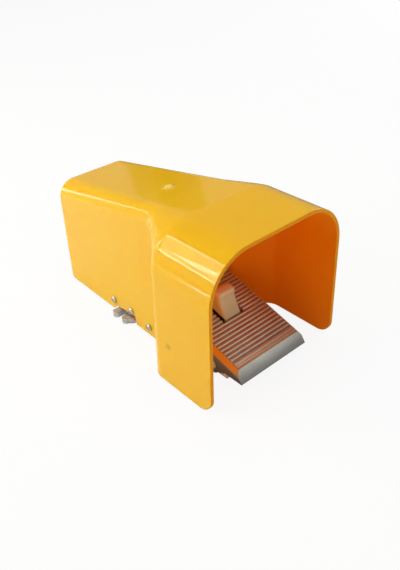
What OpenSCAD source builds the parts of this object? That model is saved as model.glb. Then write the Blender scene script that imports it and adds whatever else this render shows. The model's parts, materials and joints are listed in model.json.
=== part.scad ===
// Pneumatic foot valve: a treadle under a moulded guard pushes the spool of a five-port valve.
// Millimetres, +Z up. The foot enters from -Y. A station is a distance forward from the guard's rear end.

/* [Guard cover] */
// Length of the guard from its open rear end to the hood's rim
cover_len = 209.2; // [206:0.2:230]
// Outer width of the hood at floor level
hood_w = 125; // [110:1:140]
// Outer width of the rear box at its open end
rear_w = 74.5; // [72:0.5:82]
// Outer width of the rear box where the flare starts
neck_w = 77.5; // [76:0.5:84]
// Height of the guard at its rear end
rear_h = 91.6; // [75:0.5:105]
// Height of the guard where the flare starts
neck_h = 112.4; // [95:0.5:120]
// Height of the guard where the flare ends
shoulder_h = 118.7; // [100:0.5:130]
// Height of the hood's rim
hood_h = 119.2; // [100:0.5:130]
// Station where the flare starts
flare_start = 117.6; // [115:0.5:124]
// Station where the flare ends
flare_end = 156.2; // [145:0.5:170]
// How far the crease at the flare's start leans forward at the knee of the side
crease_lean = 8; // [0:0.5:9]
// Wall of the guard
cover_wall = 2.8; // [2:0.1:3.2]
// Outer corner radius along the top of the rear box
box_corner_r = 10.6; // [8:0.2:20]
// Outer corner radius along the top of the hood
hood_corner_r = 33.8; // [20:0.2:45]
// Radius of the hood's lower front corners, seen from the side
mouth_corner_r = 12; // [6:0.5:20]
// Radius of the rear box's lower rear corners, seen from the side
tail_corner_r = 4; // [2:0.5:7]
// Rounding of the rim's edges
rim_round = 1.1; // [0.6:0.1:1.3]
// Draft angle of the side walls
draft = 0.9; // [0.3:0.1:1.5]
// Gap between the guard's lower edge and the floor
floor_gap = 0.6; // [0.3:0.1:1.5]

/* [Guard screws] */
// Station of the rear screw on each side
rear_screw_station = 66.2; // [65:0.2:67]
// Station of the middle screw on each side
middle_screw_station = 90.2; // [89:0.2:91]
// Station of the front screw on each side
front_screw_station = 113; // [111:0.5:113.5]
// Height of the rear screw
rear_screw_z = 10.4; // [9.8:0.1:10.8]
// Height of the middle screw
middle_screw_z = 11.4; // [11.2:0.1:11.8]
// Height of the front screw
front_screw_z = 8.1; // [7:0.1:9]
// Shank diameter of the guard screws
guard_screw_d = 3; // [2.5:0.1:3.2]
// Head diameter of the guard screws
guard_screw_head_d = 6; // [5:0.1:6.4]
// Length of the guard screws under the head
guard_screw_len = 9; // [7:0.5:9.5]

/* [Base casting] */
// Station of the base's rear end
base_rear = 8; // [4:0.5:12]
// Station where the base narrows in front of the guard's rear box
base_neck = 117.5; // [117:0.5:119]
// Station of the base's front end
base_front = 190; // [188:0.5:195]
// Thickness of the base plate
plate_t = 4; // [3:0.1:4.4]
// Height of the side rails
rail_h = 15; // [14.6:0.2:17]
// Gap between the rails and the guard at the rear end
rail_gap = 0.5; // [0.3:0.1:1]
// Station of the slots in the fixing lugs
lug_station = 79.6; // [79:0.2:80.2]
// Width of each prong of a fixing lug at its tip
lug_prong_w = 6.2; // [5.6:0.1:6.6]
// Run of the taper on a fixing lug's front side
lug_taper = 3.5; // [2:0.1:4]
// Height of a fixing lug
lug_h = 4.6; // [4:0.1:4.8]
// Reach of a fixing lug beyond the guard's wall
lug_reach = 6.3; // [5:0.1:9]
// Width of the open slot in a fixing lug
lug_slot_w = 5.8; // [5:0.1:6.2]

/* [Treadle] */
// Width of the treadle
pedal_w = 65.8; // [60:0.2:67]
// Slope of the treadle at rest
pedal_slope = 15.5; // [14.5:0.1:16]
// Height of the rib tops at the latch's front face
pedal_rise = 27.9; // [27.4:0.1:28.4]
// Station of the treadle's rear wall
pedal_rear = 110.3; // [109.8:0.1:111]
// Station of the lip's lower edge
lip_station = 208.1; // [206.5:0.1:209]
// Height of the lip's lower edge
lip_z = 8.07; // [7.5:0.1:9]
// Slope of the lip's front face
lip_slope = 56; // [50:1:65]
// Rounding between the ribbed face and the lip
lip_round = 8; // [4:0.5:12]
// Thickness of the treadle plate over the ribs
pedal_t = 5; // [4.4:0.1:5.4]
// Depth of the side skirts below the rib tops
skirt_depth = 10; // [8:0.5:13]
// Wall of the side skirts
skirt_t = 3; // [2.4:0.1:3.4]
// Width of the bevel along the sides
bevel_w = 3; // [2:0.1:4]
// Depth of the bevel along the sides
bevel_h = 2.5; // [1.5:0.1:3]
// Distance from rib to rib
rib_pitch = 3.35; // [2.6:0.05:4]
// Width of a groove between two ribs
groove_w = 1.6; // [1:0.1:1.8]
// Depth of a groove
groove_depth = 1.1; // [0.5:0.1:1.2]

/* [Treadle pivot] */
// Station of the pivot pin
pivot_station = 178; // [177:0.2:179]
// Height of the pivot pin
pivot_z = 9; // [8.6:0.1:9.4]
// Diameter of the pivot pin
pivot_d = 8; // [6:0.2:8.4]
// Radius of the skirts' bosses round the pin
pivot_boss_r = 7.5; // [7:0.1:8]
// Wall of the base's pivot ears
ear_t = 4.2; // [3.6:0.1:5]
// Angle the treadle turns when pressed
press_angle = 12; // [10:0.5:12.5]

/* [Latch] */
// Width of the latch
lock_w = 16.5; // [14:0.1:17.4]
// Station of the latch's pin
lock_station = 153.3; // [152.8:0.1:153.8]
// Height of the latch's pin
lock_z = 20.9; // [20.5:0.1:21.3]
// Diameter of the latch's pin
lock_pin_d = 5; // [4:0.1:5.4]
// Angle the latch tilts when pushed
lock_angle = 21; // [19:0.5:22]
// Side gap between the latch and its slot
lock_slot_gap = 2.2; // [1.6:0.1:2.6]
// Wall of the ears that carry the latch's pin
lock_ear_t = 3.6; // [3:0.1:4.5]
// Sheet thickness of the keeper
keeper_t = 1.5; // [1.2:0.1:1.6]
// Height of the underside of the keeper's ledge
keeper_z = 8.2; // [8:0.05:8.4]
// Length of the latch's nose under the keeper when locked
nose_engage = 2.6; // [2:0.1:2.8]

/* [Valve] */
// Width of the valve block
valve_w = 52; // [50:0.2:54]
// Height of the valve block
valve_h = 54; // [52:0.5:60]
// Station of the valve block's rear face
valve_rear = 16; // [15:0.2:18]
// Station of the valve block's front face
valve_front = 84; // [83.6:0.1:84.4]
// Thickness of the base under the valve block
valve_seat_t = 5; // [4.6:0.1:5.2]
// Height of the spool's axis
spool_z = 25; // [24.6:0.1:25.4]
// Diameter of the spool bore
spool_bore_d = 12; // [11:0.1:12.6]
// Tapping diameter of the ports
port_d = 11.445; // [8.566:0.001:11.445]
// Depth of the ports' thread
port_depth = 13; // [10:0.5:15]
// Diameter of the galleries that run from the ports through the block
gallery_d = 8; // [6:0.2:8.4]
// Sideways distance between ports
port_pitch = 18; // [17.6:0.1:18.4]
// Height between the two rows of ports
port_row = 21; // [20:0.2:22]
// Diameter of the plunger
plunger_d = 8; // [7:0.1:8.2]
// Reach of the plunger's dome in front of the valve block at rest
plunger_reach = 22; // [21.8:0.1:22.2]
// Travel of the spool per degree of the treadle
spool_rate = 0.445; // [0.42:0.005:0.46]

/* [Clearances] */
// Radial clearance of a pin that turns or slides in its bore
run_gap = 0.05; // [0.02:0.01:0.08]
// Radial clearance of a screw or fixed pin in its hole
screw_gap = 0.05; // [0.02:0.01:0.1]
// Gap between faces that meet in motion
touch_gap = 0.3; // [0.2:0.05:0.4]
// Side gap between parts that move past each other
side_gap = 0.4; // [0.3:0.05:0.5]

/* [Hidden] */
$fn = 64;
arc_steps = 8;
cover_segments = 8;
flare_steps = 10;
mouth_steps = 4;
mouth_span = 60;
rim_steps = [0, 0.3, 0.7, 1];
coil_sides = 8;
coil_steps = 12;
// How far a cut runs past the face it opens, and a root into what it grows from
over = 1;
sink = 1;
eps = 0.01;

// Frame: a station s and a height z in the side view become y and z
rear_y = cover_len / 2;
function y_of(s) = rear_y - s;
function lerp(a, b, t) = a + (b - a) * t;
function clamp01(t) = max(0, min(1, t));
function turn(p, c, a) = [
    c[0] + (p[0] - c[0]) * cos(a) - (p[1] - c[1]) * sin(a),
    c[1] + (p[0] - c[0]) * sin(a) + (p[1] - c[1]) * cos(a)
];

// Guard sections: half width, height and corner radius along the length
flare_ease = 0.2;
rim_fullness = 0.9;
function eased(t) =
    t < flare_ease ? t * t / (2 * flare_ease * (1 - flare_ease)) :
    t > 1 - flare_ease ? 1 - (1 - t) * (1 - t) / (2 * flare_ease * (1 - flare_ease)) :
    (t - flare_ease / 2) / (1 - flare_ease);
function flare(s) = eased(clamp01((s - flare_start) / (flare_end - flare_start)));
function half_w(s) = lerp(lerp(rear_w, neck_w, clamp01(s / flare_start)), hood_w, flare(s)) / 2;
function top_z(s) =
    s < flare_start ? lerp(rear_h, neck_h, s / flare_start) :
    s < flare_end ? lerp(neck_h, shoulder_h, (s - flare_start) / (flare_end - flare_start)) :
    lerp(shoulder_h, hood_h, (s - flare_end) / (cover_len - flare_end));
function corner_r(s) = lerp(box_corner_r, hood_corner_r, flare(s));
function side_x(s, inset, z) = half_w(s) - inset / cos(draft) - z * tan(draft);
function round_in(d, r) = r - sqrt(max(0, r * r - d * d));
function edge_z(s) = floor_gap
    + round_in(max(0, s - (cover_len - mouth_corner_r)), mouth_corner_r)
    + round_in(max(0, tail_corner_r - s), tail_corner_r);
function edge_inset(s) = rim_fullness
    * round_in(max(0, s - (cover_len - rim_round), rim_round - s), rim_round);
function half_outline(s, inset) =
    let (r = corner_r(s) - inset, zc = top_z(s) - inset - r, xc = side_x(s, inset, zc) - r / cos(draft),
        low = edge_z(s), knee = lerp(low, zc, knee_share))
    concat(
        [[side_x(s, inset, low), low], [side_x(s, inset, knee), knee]],
        [for (k = [0:cover_segments]) let (a = lerp(draft, 90, k / cover_segments))
            [xc + r * cos(a), zc + r * sin(a)]]
    );
// The crease leans forward from the floor up to the knee, and back again towards the top
knee_share = 0.83;
knee_z = 84;
lean_top = 118;
lean_run = 18;
function lean(s, z) = crease_lean
    * clamp01(min(z / knee_z, (lean_top - z) / (lean_top - knee_z)))
    * clamp01(min(1 - (flare_start - s) / lean_run, (flare_end - s) / (flare_end - flare_start)));
function arch(half) = concat(half, [for (i = [len(half) - 1:-1:0]) [-half[i][0], half[i][1]]]);
function back_to_front(list) = [for (i = [len(list) - 1:-1:0]) list[i]];
cover_stations = concat(
    [for (k = rim_steps) k * rim_round],
    [2 * rim_round, tail_corner_r, flare_start / 2, flare_start - lean_run, flare_start],
    [for (k = [1:flare_steps]) lerp(flare_start, flare_end, k / flare_steps)],
    [for (k = [0:mouth_steps]) cover_len - mouth_corner_r * (1 - sin(mouth_span * k / mouth_steps))],
    [for (k = back_to_front(rim_steps)) cover_len - k * rim_round]
);

// Guard screws
screw_centres = [
    [rear_screw_station, rear_screw_z], [middle_screw_station, middle_screw_z],
    [front_screw_station, front_screw_z]
];
screw_seat = 0.2;
screw_boss_r = 3.8;
boss_gap = 0.12;
cover_hole_gap = 0.2;
head_gap = 0.3;
cover_cut = 8;
pan_dome_r = 4.2;
recess_l = 3.4;
recess_w = 0.7;
recess_d = 1;
function wall_x(s, z) = side_x(s, 0, z);
function inner_x(s, z) = side_x(s, cover_wall, z);

// Base
rail_x = inner_x(base_rear, rail_h) - rail_gap;
valve_side_gap = 0.4;
rail_in = valve_w / 2 + valve_side_gap;
lug_tip = half_w(lug_station) + lug_reach;
lug_corner_r = 2.6;
lug_root = 2;
lug_slot_end = rail_x + lug_slot_w / 2 + 1;
lug_rear = lug_station - lug_slot_w / 2 - lug_prong_w;
lug_tip_front = lug_station + lug_slot_w / 2 + lug_prong_w;
lug_front = lug_tip_front + lug_taper;
notch_rear_gap = 0.6;
notch_front_gap = 2.2;
notch_rear_run = 7.4;
notch_front_run = 1.2;
notch_rear_z = lug_h + 1.2;
notch_front_z = notch_rear_z + 2.5;
lug_notch = [
    [lug_rear - notch_rear_gap - notch_rear_run, -over], [lug_rear - notch_rear_gap, notch_rear_z],
    [lug_front + notch_front_gap, notch_front_z], [lug_front + notch_front_gap + notch_front_run, -over]
];
seat_margin = 2;
skirt_in = pedal_w / 2 - skirt_t;
ear_out = skirt_in - side_gap;
ear_in = ear_out - ear_t;
ear_r = pivot_boss_r - 0.5;
ear_foot = 4;
pivot = [pivot_station, pivot_z];
bush_outer_r = pivot_d / 2 + 1.5;
bush_flange_r = pivot_d / 2 + 2.8;
bush_flange_t = 0.8;
clip_t = 0.8;
clip_r = pivot_d / 2 + 2;
clip_groove_r = pivot_d / 2 - 0.7;
clip_mouth = 0.8;
clip_gap = 0.2;
clip_x = ear_in - bush_flange_t - clip_gap - clip_t;
clip_play = 0.02;
// The spot face in the base that the bush's flange and the clip turn in
spot_r = bush_flange_r + touch_gap;
spot_x = clip_x - touch_gap;
// The cross wall in front of the pivot carries the buffer that the treadle rests on
nose_wall = 4;
nose_rear = pivot_station + spot_r + touch_gap;
nose_front = nose_rear + nose_wall;
nose_z = pivot_z + 2;
buffer_half_w = 14;

// Treadle, drawn in the side view
tan_slope = tan(pedal_slope);
rise_station = 166.5;
function rib_z(s) = pedal_rise - tan_slope * (s - rise_station);
function under_z(s) = rib_z(s) - pedal_t / cos(pedal_slope);
function skirt_z(s) = rib_z(s) - skirt_depth / cos(pedal_slope);
lip_corner = let (t = tan(lip_slope))
    let (s = (lip_z + t * lip_station - rib_z(0)) / (t - tan_slope)) [s, rib_z(s)];
lip_tangent = lip_round * tan((lip_slope - pedal_slope) / 2);
lip_centre = [
    lip_corner[0] - lip_tangent * cos(pedal_slope) - lip_round * sin(pedal_slope),
    lip_corner[1] + lip_tangent * sin(pedal_slope) - lip_round * cos(pedal_slope)
];
lip_arc = [for (k = [0:arc_steps]) let (a = 90 - lerp(pedal_slope, lip_slope, k / arc_steps))
    [lip_centre[0] + lip_round * cos(a), lip_centre[1] + lip_round * sin(a)]];
lip_wall = 3.6;
lip_in = lip_station - lip_wall / sin(lip_slope);
lip_roof = let (t = tan(lip_slope))
    let (s = (lip_z + t * lip_in - under_z(0)) / (t - tan_slope)) [s, under_z(s)];
rear_wall_t = 4;
rear_wall_low = spool_z - plunger_d / 2;
rear_wall_w = 36;
cavity_low = -5;
// The skirts' lower edge steps down behind the lip and runs round the pivot's boss
step_station = 190.5;
step_drop = 0.6;
step_run = 7;
gusset_run = 21;
function boss_point(a) = pivot + pivot_boss_r * [cos(a), sin(a)];
gusset_rear_angle = 211;
gusset_front_angle = -37;
lip_margin = 1.6;
// Two fine lines across the lip's rounding, as angles from its start
lip_lines = [10, 27];
lip_line_r = 0.4;
rib_end = lip_arc[0][0] - lip_margin;
rib_run = (rib_end - pedal_rear - rear_wall_t) / cos(pedal_slope);
rib_count = floor(rib_run / rib_pitch);
bevel_x = pedal_w / 2 - bevel_w;
bevel_step = groove_depth + 0.2;
bevel_over = 20;
bevel_run = lip_station - pedal_rear + bevel_over;
cut_clear = 5;

// Treadle spring and its guide post
spring_station = 126;
spring_r = 8.5;
spring_wire = 1.8;
spring_turns = 6;
seat_r = spring_r + spring_wire;
seat_rim = 0.6;
seat_z = under_z(spring_station + seat_r) - seat_rim;
end_gap = 0.05;
post_r = 5.5;
stop_taper = 1;
stop_h = 5;
stop_gap = 2 * touch_gap;
stop_top = turn([spring_station - post_r, seat_z], pivot, press_angle)[1] - stop_gap;
post_top = stop_top - stop_h;

// Latch, with its nose drawn where it lies when locked and swung back to rest
lock_axis = [lock_station, lock_z];
lock_axis_down = turn(lock_axis, pivot, press_angle);
function from_locked(p) = turn(turn(p, lock_axis_down, -lock_angle), pivot, -press_angle);
lock_hub_r = 4.8;
slot_behind = 9;
slot_ahead = 13.9;
lock_slot_rear = lock_station - slot_behind;
lock_slot_front = lock_station + slot_ahead;
// Side view of the tab from the pin: front foot, upright face, finger rest, top and back
tab_points = [
    [11.3, 1.5], [13.2, 7], [7.2, 20.5], [8, 25.5], [1.9, 27.7], [-1.9, 25.7], [-3.1, 20.1], [-2.9, 9.1]
];
tab_root = 0.8 * lock_hub_r;
lock_slot_w = lock_w + 2 * lock_slot_gap;
keeper_set_back = 0.7;
keeper_edge = lock_axis_down[0] - keeper_set_back;
keeper_w = 14;
nose_t = 2.4;
nose_top = keeper_z - touch_gap;
nose_tip = keeper_edge + nose_engage;
nose_root = keeper_edge - 0.8;
nose_stem = 5;
keeper_screw_x = 4;
keeper_leg = nose_tip + 3;
keeper_foot = keeper_leg + keeper_t + 8;
keeper_screw_station = keeper_leg + keeper_t + 4.2;
keeper_hole_z = 0.8;
keeper_tip_z = 1;
lock_ear_in = lock_slot_w / 2;
spring_pocket_x = 4.4;
spring_pocket_gap = 0.6;
lock_wire = 0.8;
lock_coil_r = lock_pin_d / 2 + 0.9;
lock_coil_turns = 4;

// Valve
valve_low = valve_seat_t;
valve_high = valve_low + valve_h;
valve_corner_r = 3;
valve_screw_x = 18;
valve_screw_inset = 12;
valve_screw_stations = [valve_rear + valve_screw_inset, valve_front - valve_screw_inset];
valve_screw_len = 13;
valve_screw_tip_gap = 0.5;
flat_recess = 0.1;
flat_gap = 0.15;
plug_r = 8;
plug_key_r = 4.6;
plug_key_depth = 5;
plug_depth = 6;
plug_head_r = 10;
plug_head_t = 2.5;
washer_t = 1.2;
gasket_t = 0.8;
cap_t = 8;
cap_hub_r = 9.5;
cap_hub_t = 3.7;
cap_screw_inset = 5;
cap_screw_x = valve_w / 2 - cap_screw_inset;
cap_screw_heights = [valve_low + cap_screw_inset, valve_high - cap_screw_inset];
cap_screw_depth = 8;
gasket_bore_gap = 0.5;
cap_rear = valve_front + gasket_t;
cap_front = cap_rear + cap_t;
hub_front = cap_front + cap_hub_t;
bush_r = 6;
wiper_r = 7.5;
wiper_t = 2.5;
plunger_r = plunger_d / 2;
dome = [valve_front + plunger_reach - plunger_r, spool_z];
spool_travel = spool_rate * press_angle;
spool_front_gap = 2.5;
spool_rear_gap = 2.6;
spool_front = valve_front - spool_front_gap;
spool_rear = valve_rear + plug_depth + spool_travel + spool_rear_gap;
spool_r = spool_bore_d / 2 - run_gap;
land_w = 9;
tail_w = 7;
waist_r = spool_r - 2.2;
seal_r = 0.8;
seal_play = 0.1;
seal_skin = 0.02;
// Stations of the three lands' front ends, and of the two seal rings on each
land_fronts = [spool_front, (spool_front + spool_rear + land_w) / 2, spool_rear + land_w + tail_w];
seal_stations = [for (f = land_fronts, k = [0.25, 0.75]) f - k * land_w];
spool_coil_turns = 7;
spool_wire = 1;
spring_pocket_r = 4.2;
spring_pocket_depth = 14;
stud_r = 2.5;
stud_len = 8;
ports = [[-1, 0], [1, 0], [-1, 1], [0, 1], [1, 1]];

// Actuator pad: its rear face is the path of the plunger's dome in the treadle's frame, moved off by the gap
pad_w = 22;
pad_low = rear_wall_low;
pad_rim = 1.4;
path_step = 0.5;
function dome_path(a) = turn([dome[0] - spool_rate * a, dome[1]], pivot, -a);
function pad_point(a) =
    let (d = dome_path(a + path_step) - dome_path(a - path_step), n = [d[1], -d[0]] / norm(d))
    dome_path(a) + n * (plunger_r + touch_gap);
pad_steps = 8;
pad_curve = [for (k = [0:pad_steps]) pad_point(press_angle * k / pad_steps)];
pad_high = pad_curve[pad_steps][1] + pad_rim;
pad_screw_x = 7.5;
pad_screw_z = (pad_low + pad_high) / 2;
pad_screw_depth = 2.4;
pad_hole_depth = 2.6;

// Screw sizes: shank radius, head radius, head height
pan_head_t = 2.7;
key_share = 0.55;
key_depth_share = 0.6;
flat_key_r = 1.4;
flat_key_depth = 1.4;
cap_screw = [2, 3.5, 4];
small_screw = [1.5, 2.75, 2];
flat_screw = [2, 4, 2.3];

module side_view(x0, x1) {
    translate([x0, 0, 0]) rotate([90, 0, 90]) linear_extrude(x1 - x0) children();
}

module both_sides() {
    children();
    mirror([1, 0, 0]) children();
}

module shape(points) {
    polygon([for (p = points) [y_of(p[0]), p[1]]]);
}

module disc(c, r) {
    translate([y_of(c[0]), c[1]]) circle(r);
}

module x_rod(c, r, x0, x1) {
    translate([x0, y_of(c[0]), c[1]]) rotate([0, 90, 0]) cylinder(r = r, h = x1 - x0);
}

module y_rod(x, z, r, s0, s1) {
    translate([x, y_of(s1), z]) rotate([-90, 0, 0]) cylinder(r = r, h = s1 - s0);
}

module z_rod(x, s, r, z0, z1) {
    translate([x, y_of(s), z0]) cylinder(r = r, h = z1 - z0);
}

module block(x0, x1, s0, s1, z0, z1) {
    translate([x0, y_of(s1), z0]) cube([x1 - x0, s1 - s0, z1 - z0]);
}

module rounded_plate(w, h, r) {
    square([w - 2 * r, h], center = true);
    square([w, h - 2 * r], center = true);
    for (x = [-1, 1], y = [-1, 1]) translate([x * (w / 2 - r), y * (h / 2 - r)]) circle(r);
}

// A revolved ring along Y, from station s0 to s1
module y_ring(z, r_in, r_out, s0, s1) {
    difference() {
        y_rod(0, z, r_out, s0, s1);
        y_rod(0, z, r_in, s0 - over, s1 + over);
    }
}

// A coil wound along +Z, swept as rings of points
module coil(r, wire, height, turns) {
    n = coil_sides;
    rings = turns * coil_steps;
    points = [for (i = [0:rings], j = [0:n - 1])
        let (a = 360 * i / coil_steps, b = 360 * j / n, z = lerp(wire / 2, height - wire / 2, i / rings))
        [(r + wire / 2 * cos(b)) * cos(a), (r + wire / 2 * cos(b)) * sin(a), z + wire / 2 * sin(b)]];
    walls = [for (i = [0:rings - 1], j = [0:n - 1]) let (k = (j + 1) % n)
        each [[i * n + j, (i + 1) * n + j, i * n + k],
              [(i + 1) * n + j, (i + 1) * n + k, i * n + k]]];
    start_cap = [for (j = [0:n - 1]) j];
    end_cap = [for (j = [n - 1:-1:0]) rings * n + j];
    polyhedron(points, concat(walls, [start_cap, end_cap]), convexity = 10);
}

// The guard's shell as one swept arch with an inner and an outer face
module cover_shell() {
    loops = [for (s = cover_stations) let (e = edge_inset(s)) concat(
        arch(half_outline(s, e)), back_to_front(arch(half_outline(s, cover_wall - e))))];
    n = len(loops[0]);
    m = len(loops);
    points = [for (i = [0:m - 1], p = loops[i]) let (s = cover_stations[i])
        [p[0], y_of(s + lean(s, p[1])), p[1]]];
    walls = [for (i = [0:m - 2], j = [0:n - 1]) let (k = (j + 1) % n)
        each [[i * n + j, i * n + k, (i + 1) * n + j], [i * n + k, (i + 1) * n + k, (i + 1) * n + j]]];
    ends = [for (j = [0:n / 2 - 2]) let (b = (m - 1) * n)
        each [[j, n - 1 - j, j + 1], [j + 1, n - 1 - j, n - 2 - j],
              [b + j, b + j + 1, b + n - 1 - j], [b + j + 1, b + n - 2 - j, b + n - 1 - j]]];
    polyhedron(points, concat(walls, ends), convexity = 10);
}

module guard_cover() {
    color("gold") difference() {
        cover_shell();
        both_sides() {
            for (c = screw_centres) {
                x = wall_x(c[0], c[1]);
                x_rod(c, guard_screw_d / 2 + cover_hole_gap, x - cover_cut, x + cover_cut);
                x_rod(c, guard_screw_head_d / 2 + head_gap, x - screw_seat, x + cover_cut);
            }
            side_view(half_w(lug_station) - cover_cut, half_w(lug_station) + cover_cut) shape(lug_notch);
        }
    }
}

module guard_screws() {
    color("silver") both_sides() for (c = screw_centres) {
        seat = wall_x(c[0], c[1]) - screw_seat;
        x_rod(c, guard_screw_d / 2, seat - guard_screw_len, seat + eps);
        translate([seat, y_of(c[0]), c[1]]) rotate([0, 90, 0]) difference() {
            intersection() {
                cylinder(d = guard_screw_head_d, h = pan_head_t);
                translate([0, 0, pan_head_t - pan_dome_r]) sphere(pan_dome_r);
            }
            for (a = [0, 90]) rotate([0, 0, a])
                translate([-recess_l / 2, -recess_w / 2, pan_head_t - recess_d])
                    cube([recess_l, recess_w, recess_d + over]);
        }
    }
}

module fixing_lug() {
    x0 = rail_x - lug_root;
    shoulder = lug_tip - lug_corner_r;
    difference() {
        union() {
            block(x0, shoulder, lug_rear, lug_tip_front, 0, lug_h);
            linear_extrude(lug_h) polygon([[x0, y_of(lug_front)], [half_w(lug_station), y_of(lug_front)],
                [shoulder, y_of(lug_tip_front)], [x0, y_of(lug_tip_front)]]);
            for (s = [lug_rear, lug_tip_front - lug_prong_w]) {
                block(x0, lug_tip, s + lug_corner_r, s + lug_prong_w - lug_corner_r, 0, lug_h);
                for (d = [lug_corner_r, lug_prong_w - lug_corner_r])
                    z_rod(shoulder, s + d, lug_corner_r, 0, lug_h);
            }
        }
        z_rod(lug_slot_end, lug_station, lug_slot_w / 2, -over, lug_h + over);
        block(lug_slot_end, lug_tip + over, lug_station - lug_slot_w / 2, lug_station + lug_slot_w / 2,
            -over, lug_h + over);
    }
}

module pivot_ear() {
    side_view(ear_in, ear_out) {
        disc(pivot, ear_r);
        shape([[pivot_station - ear_r - ear_foot, 0], [pivot_station - ear_r, pivot_z],
            [pivot_station + ear_r, pivot_z], [base_front, plate_t], [base_front, 0]]);
    }
}

module base_casting() {
    color("darkgray") difference() {
        union() {
            block(-rail_x, rail_x, base_rear, base_neck, 0, plate_t);
            block(-ear_out, ear_out, base_neck - sink, base_front, 0, plate_t);
            block(-rail_in - sink, rail_in + sink, valve_rear - seat_margin, valve_front + seat_margin,
                0, valve_seat_t);
            block(-ear_in - sink, ear_in + sink, nose_rear, nose_front, 0, nose_z);
            z_rod(0, spring_station, post_r, 0, post_top);
            both_sides() {
                block(rail_in, rail_x, base_rear, base_neck, 0, rail_h);
                for (c = screw_centres) x_rod(c, screw_boss_r, rail_x - sink, inner_x(c[0], c[1]) - boss_gap);
                fixing_lug();
                pivot_ear();
            }
        }
        both_sides() {
            for (c = screw_centres)
                x_rod(c, guard_screw_d / 2 + screw_gap, wall_x(c[0], c[1]) - guard_screw_len - over,
                    wall_x(c[0], c[1]));
            x_rod(pivot, bush_outer_r + screw_gap, ear_in - over, ear_out + over);
            x_rod(pivot, spot_r, spot_x, ear_in);
            for (s = valve_screw_stations) {
                z_rod(valve_screw_x, s, flat_screw[0] + screw_gap, -over, valve_seat_t + over);
                translate([valve_screw_x, y_of(s), -eps]) cylinder(r1 = flat_screw[1] + flat_gap,
                    r2 = flat_screw[0] + screw_gap, h = flat_screw[2] + flat_gap);
            }
            z_rod(keeper_screw_x, keeper_screw_station, small_screw[0] + screw_gap,
                keeper_hole_z, plate_t + over);
        }
    }
}

// Side view of the treadle: plate with its lip, then the skirts' gusset and boss
module pedal_outline() {
    s = step_station;
    shape(concat([[pedal_rear, rib_z(pedal_rear)]], lip_arc,
        [[lip_station, lip_z], [s + sink, lip_z], [s - step_run, skirt_z(s - step_run)],
         [pedal_rear, skirt_z(pedal_rear)]]));
    shape([[pivot_station - gusset_run, skirt_z(pivot_station - gusset_run) + sink],
        boss_point(gusset_rear_angle), boss_point(gusset_front_angle), [s, lip_z - step_drop],
        [s + sink, lip_z + sink], [s - step_run, skirt_z(s - step_run) + sink],
        [pivot_station, skirt_z(pivot_station) + sink]]);
    disc(pivot, pivot_boss_r);
}

module pedal_cavity() {
    rear = pedal_rear + rear_wall_t;
    side_view(-skirt_in, skirt_in) shape([
        [rear, cavity_low], [rear, under_z(rear)], lip_roof, [lip_in, lip_z], [lip_in, cavity_low]]);
}

// A box laid on the rib tops: along the slope from a station, across the full width
module on_slope(s) {
    translate([0, y_of(s), rib_z(s)]) rotate([pedal_slope, 0, 0]) children();
}

module pedal_plate() {
    color("lightgray") difference() {
        union() {
            difference() {
                side_view(-pedal_w / 2, pedal_w / 2) pedal_outline();
                pedal_cavity();
            }
            block(-rear_wall_w / 2, rear_wall_w / 2, pedal_rear, pedal_rear + rear_wall_t,
                rear_wall_low, rib_z(pedal_rear + rear_wall_t));
            z_rod(0, spring_station, seat_r, seat_z, under_z(spring_station) + sink);
            both_sides() side_view(lock_ear_in, lock_ear_in + lock_ear_t) {
                disc(lock_axis, lock_hub_r);
                shape([[lock_station - lock_hub_r, lock_z], [lock_station + lock_hub_r, lock_z],
                    [lock_station + lock_hub_r, under_z(lock_station) + sink],
                    [lock_station - lock_hub_r, under_z(lock_station) + sink]]);
            }
        }
        both_sides() {
            on_slope(pedal_rear) translate([0, bevel_run, 0]) rotate([90, 0, 0]) linear_extrude(2 * bevel_run)
                polygon([[bevel_x, cut_clear], [bevel_x, -bevel_step], [pedal_w / 2, -bevel_step - bevel_h],
                    [pedal_w / 2 + cut_clear, -bevel_step - bevel_h], [pedal_w / 2 + cut_clear, cut_clear]]);
            x_rod(pivot, pivot_d / 2 + screw_gap, skirt_in - over, pedal_w / 2 + over);
            x_rod(lock_axis, lock_pin_d / 2 + screw_gap, lock_ear_in - over, lock_ear_in + lock_ear_t + over);
            y_rod(pad_screw_x, pad_screw_z, small_screw[0] + screw_gap,
                pedal_rear - over, pedal_rear + rear_wall_t + over);
        }
        for (k = [0:rib_count - 1]) on_slope(rib_end)
            translate([-pedal_w / 2, k * rib_pitch, -groove_depth]) cube([pedal_w, groove_w, cut_clear]);
        for (t = lip_lines) let (a = 90 - pedal_slope - t)
            x_rod(lip_centre + lip_round * [cos(a), sin(a)], lip_line_r, -pedal_w / 2 - over, pedal_w / 2 + over);
        block(-lock_slot_w / 2, lock_slot_w / 2, lock_slot_rear, lock_slot_front,
            under_z(lock_slot_front) - over, rib_z(lock_slot_rear) + over);
    }
}

module pivot_pin() {
    color("silver") difference() {
        x_rod(pivot, pivot_d / 2, -pedal_w / 2, pedal_w / 2);
        both_sides() difference() {
            x_rod(pivot, pivot_d, clip_x, clip_x + clip_t);
            x_rod(pivot, clip_groove_r, clip_x - over, clip_x + clip_t + over);
        }
    }
}

module pivot_clips() {
    mouth = clip_groove_r * clip_mouth;
    color("dimgray") both_sides() difference() {
        x_rod(pivot, clip_r, clip_x + clip_play, clip_x + clip_t - clip_play);
        x_rod(pivot, clip_groove_r + clip_play, clip_x - over, clip_x + clip_t + over);
        block(clip_x - over, clip_x + clip_t + over, pivot_station - mouth, pivot_station + mouth,
            pivot_z - clip_r - over, pivot_z);
    }
}

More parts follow.
